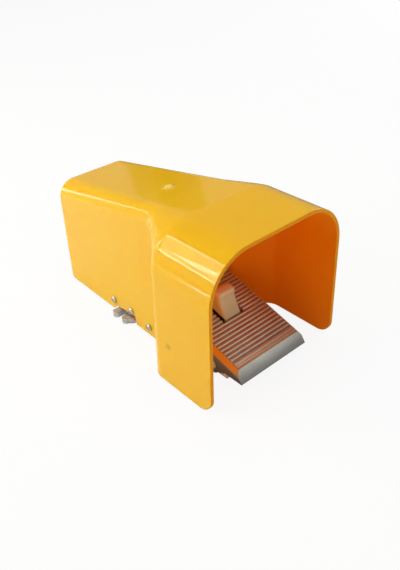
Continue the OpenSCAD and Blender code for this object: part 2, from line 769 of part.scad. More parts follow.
module pivot_bushes() {
    color("peru") both_sides() difference() {
        union() {
            x_rod(pivot, bush_outer_r, ear_in - bush_flange_t, ear_out);
            x_rod(pivot, bush_flange_r, ear_in - bush_flange_t, ear_in);
        }
        x_rod(pivot, pivot_d / 2 + run_gap, ear_in - bush_flange_t - over, ear_out + over);
    }
}

module pedal_spring() {
    color("silver") translate([0, y_of(spring_station), plate_t + end_gap])
        coil(spring_r, spring_wire, seat_z - plate_t - 2 * end_gap, spring_turns);
}

module rest_buffer() {
    gap = touch_gap / cos(pedal_slope);
    color("dimgray") side_view(-buffer_half_w, buffer_half_w) shape([
        [nose_rear, nose_z], [nose_rear, under_z(nose_rear) - gap],
        [nose_front, under_z(nose_front) - gap], [nose_front, nose_z]]);
}

module stop_buffer() {
    color("dimgray") translate([0, y_of(spring_station), post_top])
        cylinder(r1 = post_r, r2 = post_r - stop_taper, h = stop_h);
}

module actuator_pad() {
    color("slategray") difference() {
        side_view(-pad_w / 2, pad_w / 2) shape(concat(
            [[pedal_rear, pad_low]], [[pad_curve[0][0], pad_low]], pad_curve,
            [[pad_curve[pad_steps][0], pad_high], [pedal_rear, pad_high]]));
        both_sides() y_rod(pad_screw_x, pad_screw_z, small_screw[0] + screw_gap,
            pedal_rear - pad_hole_depth, pedal_rear + over);
    }
}

module pad_screws() {
    s = pedal_rear + rear_wall_t;
    color("silver") both_sides() {
        y_rod(pad_screw_x, pad_screw_z, small_screw[0], pedal_rear - pad_screw_depth, s + eps);
        socket_head_y(pad_screw_x, pad_screw_z, small_screw, s);
    }
}

// A socket head that faces forward, seated at a station
module socket_head_y(x, z, size, s) {
    difference() {
        y_rod(x, z, size[1], s, s + size[2]);
        translate([x, y_of(s + size[2]) - over, z]) rotate([-90, 0, 0])
            cylinder(r = size[1] * key_share, h = size[2] * key_depth_share + over, $fn = 6);
    }
}

module lock_lever() {
    half = lock_w / 2;
    tab = [for (p = concat(tab_points, [[-tab_root, sink], [tab_root, -sink]])) lock_axis + p];
    stem = nose_root - nose_stem;
    hook = [[stem, lock_axis_down[1]], [nose_root, lock_axis_down[1]], [nose_root, nose_top],
        [nose_tip, nose_top], [nose_tip, nose_top - nose_t], [stem, nose_top - nose_t]];
    color("gainsboro") difference() {
        union() {
            side_view(-half, half) shape(tab);
            side_view(-half, half) disc(lock_axis, lock_hub_r);
            side_view(-half, half) shape([for (p = hook) from_locked(p)]);
        }
        x_rod(lock_axis, lock_pin_d / 2 + run_gap, -half - over, half + over);
        x_rod(lock_axis, lock_hub_r + spring_pocket_gap, spring_pocket_x, half + over);
    }
}

module lock_pin() {
    color("silver") x_rod(lock_axis, lock_pin_d / 2, -lock_ear_in - lock_ear_t, lock_ear_in + lock_ear_t);
}

module lock_spring() {
    color("silver") translate([spring_pocket_x + touch_gap, y_of(lock_station), lock_z]) rotate([0, 90, 0])
        coil(lock_coil_r, lock_wire, lock_ear_in - spring_pocket_x - 2 * touch_gap, lock_coil_turns);
}

module lock_keeper() {
    color("slategray") difference() {
        side_view(-keeper_w / 2, keeper_w / 2) shape([
            [keeper_edge, keeper_z], [keeper_leg, keeper_z], [keeper_leg, plate_t], [keeper_foot, plate_t],
            [keeper_foot, plate_t + keeper_t], [keeper_leg + keeper_t, plate_t + keeper_t],
            [keeper_leg + keeper_t, keeper_z + keeper_t], [keeper_edge, keeper_z + keeper_t]]);
        both_sides() z_rod(keeper_screw_x, keeper_screw_station, small_screw[0] + screw_gap,
            plate_t - over, plate_t + keeper_t + over);
    }
}

module keeper_screws() {
    z = plate_t + keeper_t;
    color("silver") both_sides() translate([keeper_screw_x, y_of(keeper_screw_station), 0]) difference() {
        union() {
            translate([0, 0, keeper_tip_z]) cylinder(r = small_screw[0], h = z);
            translate([0, 0, z]) cylinder(r = small_screw[1], h = small_screw[2]);
        }
        translate([0, 0, z + small_screw[2] * (1 - key_depth_share)])
            cylinder(r = small_screw[1] * key_share, h = small_screw[2], $fn = 6);
    }
}

// The valve's outline as a slab between two stations, shared by the block, its gasket and its cap
module valve_slab(s0, s1) {
    translate([0, y_of(s1), valve_low + valve_h / 2]) rotate([-90, 0, 0])
        linear_extrude(s1 - s0) rounded_plate(valve_w, valve_h, valve_corner_r);
}

module valve_body() {
    color("darkgray") difference() {
        valve_slab(valve_rear, valve_front);
        y_rod(0, spool_z, spool_bore_d / 2, valve_rear - over, valve_front + over);
        y_rod(0, spool_z, plug_r + screw_gap, valve_rear - over, valve_rear + plug_depth);
        for (p = ports) {
            x = p[0] * port_pitch;
            z = spool_z + p[1] * port_row;
            y_rod(x, z, port_d / 2, valve_rear - over, valve_rear + port_depth);
            y_rod(x, z, gallery_d / 2, valve_rear, valve_front + over);
        }
        cap_screw_holes(valve_front - cap_screw_depth - over, valve_front + over);
        both_sides() for (s = valve_screw_stations)
            z_rod(valve_screw_x, s, flat_screw[0] + screw_gap, valve_low - over, valve_screw_len + over);
    }
}

module cap_screw_holes(s0, s1) {
    both_sides() for (z = cap_screw_heights) y_rod(cap_screw_x, z, cap_screw[0] + screw_gap, s0, s1);
}

module front_cap() {
    color("darkgray") difference() {
        union() {
            valve_slab(cap_rear, cap_front);
            y_rod(0, spool_z, cap_hub_r, cap_rear, hub_front);
        }
        y_rod(0, spool_z, bush_r + screw_gap, cap_rear - over, hub_front + over);
        y_rod(0, spool_z, wiper_r + screw_gap, hub_front - wiper_t, hub_front + over);
        cap_screw_holes(cap_rear - over, cap_front + over);
    }
}

module cap_gasket() {
    color("dimgray") difference() {
        valve_slab(valve_front, cap_rear);
        y_rod(0, spool_z, spool_bore_d / 2 + gasket_bore_gap, valve_front - over, cap_rear + over);
        cap_screw_holes(valve_front - over, cap_rear + over);
    }
}

module cap_screws() {
    color("silver") both_sides() for (z = cap_screw_heights) {
        y_rod(cap_screw_x, z, cap_screw[0], valve_front - cap_screw_depth, cap_front + eps);
        socket_head_y(cap_screw_x, z, cap_screw, cap_front);
    }
}

module plunger_bush() {
    color("peru") y_ring(spool_z, plunger_r + run_gap, bush_r, cap_rear, hub_front - wiper_t);
}

module plunger_wiper() {
    color("dimgray") y_ring(spool_z, plunger_r + run_gap, wiper_r, hub_front - wiper_t, hub_front);
}

module plunger() {
    color("silver") {
        y_rod(0, spool_z, stud_r, spool_front - stud_len, spool_front + eps);
        y_rod(0, spool_z, plunger_r, spool_front, dome[0]);
        translate([0, y_of(dome[0]), spool_z]) sphere(plunger_r);
    }
}

module spool() {
    color("silver") difference() {
        union() {
            y_rod(0, spool_z, waist_r, spool_rear, spool_front);
            for (f = land_fronts) y_rod(0, spool_z, spool_r, f - land_w, f);
            y_rod(0, spool_z, spool_r, spool_rear, spool_rear + tail_w + eps);
        }
        for (s = seal_stations)
            y_ring(spool_z, spool_r - 2 * seal_r, spool_r + over,
                s - seal_r - seal_play, s + seal_r + seal_play);
        y_rod(0, spool_z, stud_r + screw_gap, spool_front - stud_len - over, spool_front + over);
        y_rod(0, spool_z, spring_pocket_r, spool_rear - over, spool_rear + spring_pocket_depth);
    }
}

module spool_seals() {
    color("dimgray") for (s = seal_stations) translate([0, y_of(s), spool_z]) rotate([-90, 0, 0])
        rotate_extrude() translate([spool_r - seal_r, 0]) circle(seal_r - seal_skin);
}

module spool_spring() {
    s0 = valve_rear + plug_depth;
    s1 = spool_rear + spring_pocket_depth;
    color("silver") translate([0, y_of(s1) + end_gap, spool_z]) rotate([-90, 0, 0])
        coil(spring_pocket_r - spool_wire, spool_wire, s1 - s0 - 2 * end_gap, spool_coil_turns);
}

module end_plug() {
    head_rear = valve_rear - washer_t - plug_head_t;
    color("silver") difference() {
        union() {
            y_rod(0, spool_z, plug_r, head_rear, valve_rear + plug_depth);
            y_rod(0, spool_z, plug_head_r, head_rear, valve_rear - washer_t);
        }
        translate([0, y_of(head_rear + plug_key_depth), spool_z]) rotate([-90, 0, 0])
            cylinder(r = plug_key_r, h = plug_key_depth + over, $fn = 6);
    }
}

module end_plug_washer() {
    color("peru") y_ring(spool_z, plug_r + screw_gap, plug_head_r, valve_rear - washer_t, valve_rear);
}

module valve_screws() {
    color("silver") both_sides() for (s = valve_screw_stations)
        translate([valve_screw_x, y_of(s), flat_recess]) difference() {
            union() {
                cylinder(r = flat_screw[0], h = valve_screw_len - valve_screw_tip_gap);
                cylinder(r1 = flat_screw[1], r2 = flat_screw[0], h = flat_screw[2]);
            }
            translate([0, 0, -over]) cylinder(r = flat_key_r, h = flat_key_depth + over, $fn = 6);
        }
}

base_casting();
guard_cover();
guard_screws();
pedal_plate();
pivot_pin();
pivot_bushes();
pivot_clips();
pedal_spring();
rest_buffer();
stop_buffer();
actuator_pad();
pad_screws();
lock_lever();
lock_pin();
lock_spring();
lock_keeper();
keeper_screws();
valve_body();
front_cap();
cap_gasket();
cap_screws();
plunger_bush();
plunger_wiper();
plunger();
spool();
spool_seals();
spool_spring();
end_plug();
end_plug_washer();
valve_screws();
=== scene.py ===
"""Dresses a pneumatic foot valve: a yellow guard over a ribbed treadle with a latch, on its CAD frame."""

from __future__ import annotations

import json
import logging
import math
from dataclasses import dataclass
from enum import Enum
from typing import Callable, Sequence

import bmesh
import bpy
from mathutils import Matrix, Vector

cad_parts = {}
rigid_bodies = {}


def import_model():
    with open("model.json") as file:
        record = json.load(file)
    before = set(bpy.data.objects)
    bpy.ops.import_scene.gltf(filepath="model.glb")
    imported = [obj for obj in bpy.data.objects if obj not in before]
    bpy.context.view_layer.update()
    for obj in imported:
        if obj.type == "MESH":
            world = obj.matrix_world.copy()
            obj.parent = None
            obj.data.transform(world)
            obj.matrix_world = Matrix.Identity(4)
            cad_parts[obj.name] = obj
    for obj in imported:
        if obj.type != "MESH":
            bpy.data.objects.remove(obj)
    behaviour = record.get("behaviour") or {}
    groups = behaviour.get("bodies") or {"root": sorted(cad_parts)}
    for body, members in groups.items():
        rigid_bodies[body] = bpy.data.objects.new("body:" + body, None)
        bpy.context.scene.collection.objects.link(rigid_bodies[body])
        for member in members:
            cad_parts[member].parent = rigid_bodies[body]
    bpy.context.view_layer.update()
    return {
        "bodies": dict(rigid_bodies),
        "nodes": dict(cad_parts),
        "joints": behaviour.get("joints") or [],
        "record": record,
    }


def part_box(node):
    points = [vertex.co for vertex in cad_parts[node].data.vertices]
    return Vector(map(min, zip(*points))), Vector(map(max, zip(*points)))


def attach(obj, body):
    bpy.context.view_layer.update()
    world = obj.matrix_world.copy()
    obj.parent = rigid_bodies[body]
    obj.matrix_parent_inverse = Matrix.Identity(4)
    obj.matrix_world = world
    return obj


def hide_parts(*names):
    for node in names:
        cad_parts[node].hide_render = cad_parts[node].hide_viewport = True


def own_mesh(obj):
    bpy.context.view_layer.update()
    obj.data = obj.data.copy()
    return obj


LOG = logging.getLogger("foot_valve")
MM = 0.001
Color = tuple[float, float, float]
Paint = tuple[float, float, float, float]
Point = tuple[float, float, float]
Span = tuple[float, float]
Face = tuple[int, ...]
Socket = bpy.types.NodeSocket
Group = bpy.types.NodeTree
GREY: Paint = (0.5, 0.5, 0.5, 1.0)
WHITE: Paint = (1.0, 1.0, 1.0, 1.0)
SOCKET_KINDS = {1: "NodeSocketFloat", 3: "NodeSocketVector", 4: "NodeSocketColor"}
VECTOR_MATH = "ShaderNodeVectorMath"
MIX_SLOTS = (0, 6, 7)
MIX_RESULT = 2
RIB_NORMAL = (0.0, -0.26724, 0.96363)
RIB_LEVEL = 43.427 * MM
# x over which the painted glow of the guard's inside turns from dim to lit
LIT_WALL_X: Span = (-20.0, -58.0)
SPOT_FADE: Span = (1.0, 0.25)
SCATTER_DEPTH = 9.0 * MM
SCATTER_SPREAD = (1.0, 0.16, 0.01)
COAT_ROUGHNESS = 0.06


def lerp(a: float, b: float, t: float) -> float:
    """Value a share t of the way from a to b."""
    return a + (b - a) * t


def clamp(t: float) -> float:
    """t held between 0 and 1."""
    return min(max(t, 0.0), 1.0)


def track(x: float, *knots: Span) -> float:
    """Height of a line through knots, level beyond both ends.

    Args:
        x: Where to read it.
        knots: Place and height of each knot, in order.

    Returns:
        The height at x.
    """
    for (start, low), (end, high) in zip(knots, knots[1:]):
        if x < end:
            return lerp(low, high, clamp((x - start) / (end - start)))
    return knots[-1][1]


def opaque(color: Color) -> Paint:
    """A colour with full alpha."""
    return (*color, 1.0)


def tube_faces(rings: int, around: int, inward: bool = False) -> list[Face]:
    """Quads between the rings of a tube.

    Args:
        rings: Steps along the tube.
        around: Vertices of a ring.
        inward: Whether the faces look at the axis.

    Returns:
        Faces as vertex numbers.
    """
    faces: list[Face] = []
    for ring in range(rings):
        for k in range(around):
            a, b = ring * around + k, ring * around + (k + 1) % around
            faces.append((a, a + around, b + around, b) if inward else (a, b, b + around, a + around))
    return faces


def place_object(name: str, data: bpy.types.ID) -> bpy.types.Object:
    """Makes an object of some data and links it to the scene.

    Args:
        name: Name of the object.
        data: Its mesh, lamp or lens.

    Returns:
        The object.
    """
    made = bpy.data.objects.new(name, data)
    bpy.context.scene.collection.objects.link(made)
    return made


class Grain(Enum):
    """Kinds of fine surface relief."""

    PEEL = "peel"
    CAST = "cast"
    BRUSHED = "brushed"
    MATT = "matt"


class NodeWeb:
    """Small helper that adds and links shader nodes in one tree."""

    def __init__(self, tree: Group) -> None:
        """Keeps the tree."""
        self.tree = tree

    def feed(self, value: object, target: Socket) -> None:
        """Links a socket to an input, or sets the input to a number or colour.

        Args:
            value: An output socket or a plain value.
            target: The input.
        """
        if isinstance(value, Socket):
            self.tree.links.new(value, target)
        else:
            target.default_value = value

    def add(self, kind: str, **values: object) -> bpy.types.Node:
        """Adds a node and sets its attributes and inputs.

        Args:
            kind: Blender's node type.
            values: Attributes of the node, or inputs by name with spaces as underscores.

        Returns:
            The new node.
        """
        made = self.tree.nodes.new(kind)
        for key, value in values.items():
            name = key.replace("_", " ")
            if name in made.inputs:
                self.feed(value, made.inputs[name])
            else:
                setattr(made, key, value)
        return made

    def math(self, operation: str, a: object, b: object, kind: str = "ShaderNodeMath") -> Socket:
        """Adds a Math or Vector Math node that gives a number.

        Args:
            operation: Its operation.
            a: First socket or value.
            b: Second socket or value.
            kind: Which of the two nodes it is.

        Returns:
            The result socket.
        """
        made = self.add(kind, operation=operation)
        self.feed(a, made.inputs[0])
        self.feed(b, made.inputs[1])
        return made.outputs["Value"]

    def product(self, first: object, *others: object) -> Socket:
        """Multiplies sockets and numbers.

        Args:
            first: The first of them.
            others: The rest, at least one.

        Returns:
            The product.
        """
        for other in others:
            first = self.math("MULTIPLY", first, other)
        return first

    def mix(self, share: Socket, a: object, b: object) -> Socket:
        """Turns one colour into another by a share.

        Args:
            share: 0 for the first colour, 1 for the second.
            a: First colour.
            b: Second colour.

        Returns:
            The mixed colour.
        """
        made = self.add("ShaderNodeMix", data_type="RGBA")
        for slot, value in zip(MIX_SLOTS, (share, a, b)):
            self.feed(value, made.inputs[slot])
        return made.outputs[MIX_RESULT]

    def blend(self, share: Socket, first: bpy.types.Node, second: bpy.types.Node) -> Socket:
        """Turns one shader into another by a share.

        Args:
            share: 0 for the first shader, 1 for the second.
            first: Node of the first shader.
            second: Node of the second shader.

        Returns:
            The mixed shader.
        """
        made = self.add("ShaderNodeMixShader", Fac=share)
        self.feed(first.outputs[0], made.inputs[1])
        self.feed(second.outputs[0], made.inputs[2])
        return made.outputs[0]

    def ramp(self, value: Socket, span: Span, unit: float = MM) -> Socket:
        """Smooth step of a value.

        Args:
            value: The socket to map.
            span: Values that give 0 and 1.
            unit: Unit of the span.

        Returns:
            The mapped socket.
        """
        start, end = span
        step = self.add("ShaderNodeMapRange", interpolation_type="SMOOTHSTEP", Value=value,
                        From_Min=start * unit, From_Max=end * unit)
        return step.outputs["Result"]

    def noise(self, place: Socket, scale: object, detail: float, rough: float = 0.5) -> Socket:
        """Adds a Noise Texture node.

        Args:
            place: Where it is read.
            scale: Its scale, as a socket or a number.
            detail: Its octaves.
            rough: How strong its finer octaves are.

        Returns:
            The noise, from 0 to 1.
        """
        made = self.add("ShaderNodeTexNoise", Vector=place, Scale=scale, Detail=detail, Roughness=rough)
        return made.outputs["Fac"]

    def place(self) -> Socket:
        """Coordinates of the surface in the object's own space."""
        return self.add("ShaderNodeTexCoord").outputs["Object"]

    def axes(self, place: Socket) -> tuple[Socket, ...]:
        """X, Y and Z of a place."""
        return tuple(self.add("ShaderNodeSeparateXYZ", Vector=place).outputs)


@dataclass(frozen=True)
class TreadleShading:
    """Painted shade and painted orange light on the treadle and the latch. Each span runs from none to full,
    in millimetres.
    """

    groove_depth: Span = (0.1, 0.75)
    groove_floor: Span = (1.35, 1.15)
    ribs_y: Span = (-94.2, -94.0)
    toe_z: Span = (25.0, 7.0)
    slot_half: Span = (10.35, 10.15)
    slot_left: Span = (-7.6, -8.2)
    slot_depth: Span = (-0.5, 0.1)
    slot_y: Span = (-63.7, -62.7)
    skirt_x: Span = (-32.5, -32.8)
    skirt_depth: Span = (3.4, 7.0)
    bevel_x: Span = (-29.8, -30.2)
    bevel_depth: Span = (5.0, 3.6)
    bevel_y: Span = (-100.2, -96.2)
    groove_share: float = 0.8
    lip_share: float = 2.2
    toe_share: float = 0.9
    skirt_share: float = 0.55
    patch_scale: float = 160.0
    patch_detail: float = 3.0
    patch_least: float = 0.5
    # painted shade warmed by painted orange light from the guard, in the lip's lines
    lip: Paint = (0.7, 0.29, 0.08, 1.0)
    # painted shade: darker and greyer towards the bottom, mostly on the lip's front
    toe: Paint = (0.2, 0.19, 0.185, 1.0)
    # painted shade: near black in the slot left of the latch, and partly on the left skirt
    dark: Paint = (0.07, 0.04, 0.025, 1.0)
    # painted reflection: orange on the left bevel, for the lit inside of the guard mirrored in it
    bevel: Paint = (0.76, 0.41, 0.11, 1.0)


@dataclass(frozen=True)
class EdgeWearAndGlint:
    """Lighter colour along raised edges, for worn edges and, on the base, painted highlights: where it
    starts, how fast it grows and how broken it is.
    """

    start: float = 0.53
    gain: float = 14.0
    patch_scale: float = 420.0
    patch_detail: float = 3.0
    patch_least: float = 0.35


@dataclass(frozen=True)
class Mottle:
    """Patches of a second colour: a broad and a fine noise, their shares and the span of the mask."""

    broad_detail: float = 3.0
    broad_rough: float = 0.55
    broad_share: float = 0.6
    fine_factor: float = 7.0
    fine_detail: float = 4.0
    fine_rough: float = 0.6
    fine_share: float = 0.4
    low: float = 0.38
    high: float = 0.62


class SurfaceGroups:
    """Shader node groups that several finishes share."""

    def __init__(self) -> None:
        """Builds each group once."""
        self.mottle = self._mottle(Mottle())
        self.wear_and_glint = self._wear_and_glint(EdgeWearAndGlint())
        # painted shade and painted orange light for the treadle and the latch
        self.painted_shading = self._painted_shading(TreadleShading())
        self.spot = self._spot()
        self.shine = self._shine()
        even, lengthwise = (1.0, 1.0, 1.0), (0.05, 1.0, 1.0)
        self.grains = {
            Grain.PEEL: self._grain("moulded_peel", even, 2.0, 0.45),
            Grain.CAST: self._grain("cast_skin", even, 6.0, 0.62),
            Grain.BRUSHED: self._grain("brushed_lines", lengthwise, 3.0, 0.55),
            Grain.MATT: self._grain("matt_skin", even, 4.0, 0.7),
        }

    @staticmethod
    def _start(name: str, inputs: dict[str, object], *outputs: str
               ) -> tuple[NodeWeb, bpy.types.NodeOutputs, bpy.types.NodeInputs]:
        """Starts a group. An input's kind follows from its default, and an output's from its name.

        Args:
            name: The group's name.
            inputs: Name and default of each input.
            outputs: Name of each output.

        Returns:
            The group's web, what enters it and what leaves it.
        """
        tree = bpy.data.node_groups.new(name, "ShaderNodeTree")
        for label, value in inputs.items():
            kind = SOCKET_KINDS[len(value) if isinstance(value, tuple) else 1]
            tree.interface.new_socket(label, in_out="INPUT", socket_type=kind).default_value = value
        for label in outputs:
            kind = SOCKET_KINDS[4 if label == "Color" else 1]
            tree.interface.new_socket(label, in_out="OUTPUT", socket_type=kind)
        web = NodeWeb(tree)
        return web, web.add("NodeGroupInput").outputs, web.add("NodeGroupOutput").inputs

    def _mottle(self, look: Mottle) -> Group:
        """Soft patches of a second colour, and the matching change of gloss.

        Args:
            look: Its values.

        Returns:
            The node group.
        """
        web, enter, leave = self._start(
            "surface_mottle", {"Color": GREY, "Shade": GREY, "Scale": 60.0, "Amount": 0.5, "Roughness": 0.4,
                               "Spread": 0.1}, "Color", "Roughness")
        place = web.place()
        broad = web.noise(place, enter["Scale"], look.broad_detail, look.broad_rough)
        fine_scale = web.product(enter["Scale"], look.fine_factor)
        fine = web.noise(place, fine_scale, look.fine_detail, look.fine_rough)
        both = web.math("ADD", web.product(fine, look.fine_share), web.product(broad, look.broad_share))
        patches = web.add("ShaderNodeMapRange", Value=both, From_Min=look.low, From_Max=look.high)
        mask = patches.outputs["Result"]
        web.feed(web.mix(web.product(mask, enter["Amount"]), enter["Color"], enter["Shade"]), leave["Color"])
        change = web.product(web.math("SUBTRACT", mask, 0.5), enter["Spread"])
        web.feed(web.math("ADD", enter["Roughness"], change), leave["Roughness"])
        return web.tree

    def _wear_and_glint(self, look: EdgeWearAndGlint) -> Group:
        """Broken lighter colour along raised edges: worn edges, and on the base also painted highlights.

        Args:
            look: Its values.

        Returns:
            The node group.
        """
        web, enter, leave = self._start("edge_wear_and_glint", {"Color": GREY, "WornAndGlint": GREY, "Amount": 0.5}, "Color")
        edge = web.add("ShaderNodeNewGeometry").outputs["Pointiness"]
        patches = web.noise(web.place(), look.patch_scale, look.patch_detail)
        patchy = web.math("ADD", patches, look.patch_least)
        rise = web.math("SUBTRACT", edge, look.start)
        mask = web.add("ShaderNodeClamp", Value=web.product(rise, look.gain, patchy, enter["Amount"]))
        web.feed(web.mix(mask.outputs["Result"], enter["Color"], enter["WornAndGlint"]), leave["Color"])
        return web.tree

    def _painted_shading(self, shading: TreadleShading) -> Group:
        """Painted shade in the grooves, on the lower front of the lip, in the slot left of the latch and on
        the left skirt, and painted orange light in the lip's lines and on the left bevel.

        Args:
            shading: Where they lie.

        Returns:
            The node group.
        """
        web, enter, leave = self._start(
            "painted_treadle_shading", {"Color": GREY, "GrooveShade": GREY, "Amount": shading.groove_share, "Lip": shading.lip,
                             "Toe": shading.toe, "Dark": shading.dark, "Bevel": shading.bevel}, "Color")
        place = web.place()
        x, y, z = web.axes(place)
        below = web.math("SUBTRACT", RIB_LEVEL, web.math("DOT_PRODUCT", place, RIB_NORMAL, VECTOR_MATH))
        uneven = web.math("ADD", web.noise(place, shading.patch_scale, shading.patch_detail), shading.patch_least)
        share = web.product(web.ramp(below, shading.groove_depth), web.ramp(below, shading.groove_floor), uneven)
        ribbed = web.ramp(y, shading.ribs_y)
        inside = web.ramp(web.math("ABSOLUTE", x, 0.0), shading.slot_half)
        # each layer paints light or shade: shade in the grooves, shade warmed by the guard's orange light in
        # the lip's lines, shade growing towards the bottom, near black shade in the slot, dark shade on the
        # left skirt, and the guard's orange reflection on the left bevel
        layers = (
            ("GrooveShade", (share, ribbed, enter["Amount"])),
            ("Lip", (share, web.math("SUBTRACT", 1.0, ribbed), shading.lip_share)),
            ("Toe", (web.ramp(z, shading.toe_z), shading.toe_share)),
            ("Dark", (inside, web.ramp(below, shading.slot_depth), web.ramp(x, shading.slot_left),
                      web.ramp(y, shading.slot_y))),
            ("Dark", (web.ramp(x, shading.skirt_x), web.ramp(below, shading.skirt_depth), shading.skirt_share)),
            ("Bevel", (web.ramp(x, shading.bevel_x), web.ramp(below, shading.bevel_depth),
                       web.ramp(y, shading.bevel_y))),
        )
        color = enter["Color"]
        for label, masks in layers:
            color = web.mix(web.math("MINIMUM", web.product(*masks), 1.0), color, enter[label])
        web.feed(color, leave["Color"])
        return web.tree

    def _spot(self) -> Group:
        """One round patch of colour at a place on the surface; the guard takes it for a painted highlight on
        the gate pip and for a darker spot over the sink mark.

        Returns:
            The node group.
        """
        web, enter, leave = self._start(
            "highlight_and_dark_spot", {"Color": GREY, "Mark": GREY, "Place": (0.0, 0.0, 0.0), "Reach": 3.0 * MM,
                              "Amount": 0.5}, "Color")
        far = web.math("DISTANCE", web.place(), enter["Place"], VECTOR_MATH)
        share = web.math("DIVIDE", far, enter["Reach"])
        mask = web.product(web.ramp(share, SPOT_FADE, unit=1.0), enter["Amount"])
        web.feed(web.mix(mask, enter["Color"], enter["Mark"]), leave["Color"])
        return web.tree

    def _shine(self) -> Group:
        """Painted glow: emission that stands in for light seeping through the wall, stronger on the side that
        faces the window.

        Returns:
            The node group.
        """
        web, enter, leave = self._start("painted_wall_glow", {"Dim": GREY, "Lit": GREY}, "Color")
        x = web.axes(web.place())[0]
        web.feed(web.mix(web.ramp(x, LIT_WALL_X), enter["Dim"], enter["Lit"]), leave["Color"])
        return web.tree

    def _grain(self, name: str, stretch: Point, detail: float, rough: float) -> Group:
        """Fine relief for a Bump node.

        Args:
            name: The group's name.
            stretch: Scale of the pattern along each axis.
            detail: Octaves of the noise.
            rough: How strong its finer octaves are.

        Returns:
            The node group.
        """
        web, enter, leave = self._start(name, {"Scale": 500.0}, "Height")
        stretched = web.add("ShaderNodeMapping", Vector=web.place(), Scale=stretch).outputs["Vector"]
        web.feed(web.noise(stretched, enter["Scale"], detail, rough), leave["Height"])
        return web.tree


@dataclass(frozen=True)
class Mark:
    """A round mark on the surface: its place and reach in millimetres, its colour and its strength."""

    place: Point
    reach: float
    color: Color
    amount: float


@dataclass(frozen=True)
class Finish:
    """One procedural finish: its colours, gloss, relief and worn edges, and the painted highlights, painted
    shade and painted glow that some finishes carry.
    """

    name: str
    color: Color
    shade: Color
    roughness: float
    metallic: float = 0.0
    coat: float = 0.0
    spread: float = 0.08
    mottle_scale: float = 45.0
    mottle: float = 0.7
    grain: Grain = Grain.PEEL
    grain_scale: float = 600.0
    relief: float = 0.02
    worn: Color = (0.9, 0.9, 0.9)
    wear_and_glint: float = 0.0
    specular: float = 0.5
    translucence: float = 0.0
    # painted glow: emission colours of the dim side and of the side that faces the window
    dim_shine: Color | None = None
    lit_shine: Color = (0.0, 0.0, 0.0)
    # painted shade for the grooves, laid with the rest of the treadle's painted shade and orange light
    painted_shading: Color | None = None
    marks: tuple[Mark, ...] = ()

    def material(self, groups: SurfaceGroups) -> bpy.types.Material:
        """Builds the finish as a node material.

        Args:
            groups: The shared node groups.

        Returns:
            The new material.
        """
        made = bpy.data.materials.new(self.name)
        made.use_nodes = True
        made.diffuse_color = opaque(self.color)
        web = NodeWeb(made.node_tree)
        web.tree.nodes.clear()
        patch = web.add("ShaderNodeGroup", node_tree=groups.mottle, Color=opaque(self.color),
                        Shade=opaque(self.shade), Scale=self.mottle_scale, Amount=self.mottle,
                        Roughness=self.roughness, Spread=self.spread)
        color = patch.outputs["Color"]
        for group, values in self._layers(groups):
            color = web.add("ShaderNodeGroup", node_tree=group, Color=color, **values).outputs["Color"]
        skin = web.add("ShaderNodeGroup", node_tree=groups.grains[self.grain], Scale=self.grain_scale)
        bump = web.add("ShaderNodeBump", Strength=1.0, Distance=self.relief * MM,
                       Height=skin.outputs["Height"])
        shader = web.add("ShaderNodeBsdfPrincipled", Base_Color=color, Metallic=self.metallic,
                         Roughness=patch.outputs["Roughness"], Normal=bump.outputs["Normal"],
                         Coat_Weight=self.coat, Coat_Roughness=COAT_ROUGHNESS,
                         Specular_IOR_Level=self.specular, Subsurface_Weight=self.translucence,
                         Subsurface_Scale=SCATTER_DEPTH, Subsurface_Radius=SCATTER_SPREAD)
        # painted glow: the inside emits light as if lit through the wall
        if self.dim_shine is not None:
            glow = web.add("ShaderNodeGroup", node_tree=groups.shine, Dim=opaque(self.dim_shine),
                           Lit=opaque(self.lit_shine))
            web.feed(glow.outputs["Color"], shader.inputs["Emission Color"])
            web.feed(1.0, shader.inputs["Emission Strength"])
        web.add("ShaderNodeOutputMaterial", Surface=shader.outputs["BSDF"])
        return made

    def _layers(self, groups: SurfaceGroups) -> list[tuple[Group, dict[str, object]]]:
        """Lists what lies over the mottled colour, from below.

        Args:
            groups: The shared node groups.

        Returns:
            Each layer's group and its values.
        """
        layers: list[tuple[Group, dict[str, object]]] = []
        if self.wear_and_glint > 0.0:
            layers.append((groups.wear_and_glint, {"WornAndGlint": opaque(self.worn), "Amount": self.wear_and_glint}))
        # painted shade and painted orange light of the treadle and the latch
        if self.painted_shading is not None:
            layers.append((groups.painted_shading, {"GrooveShade": opaque(self.painted_shading)}))
        for mark in self.marks:
            layers.append((groups.spot, {"Mark": opaque(mark.color), "Place": [c * MM for c in mark.place],
                                         "Reach": mark.reach * MM, "Amount": mark.amount}))
        return layers


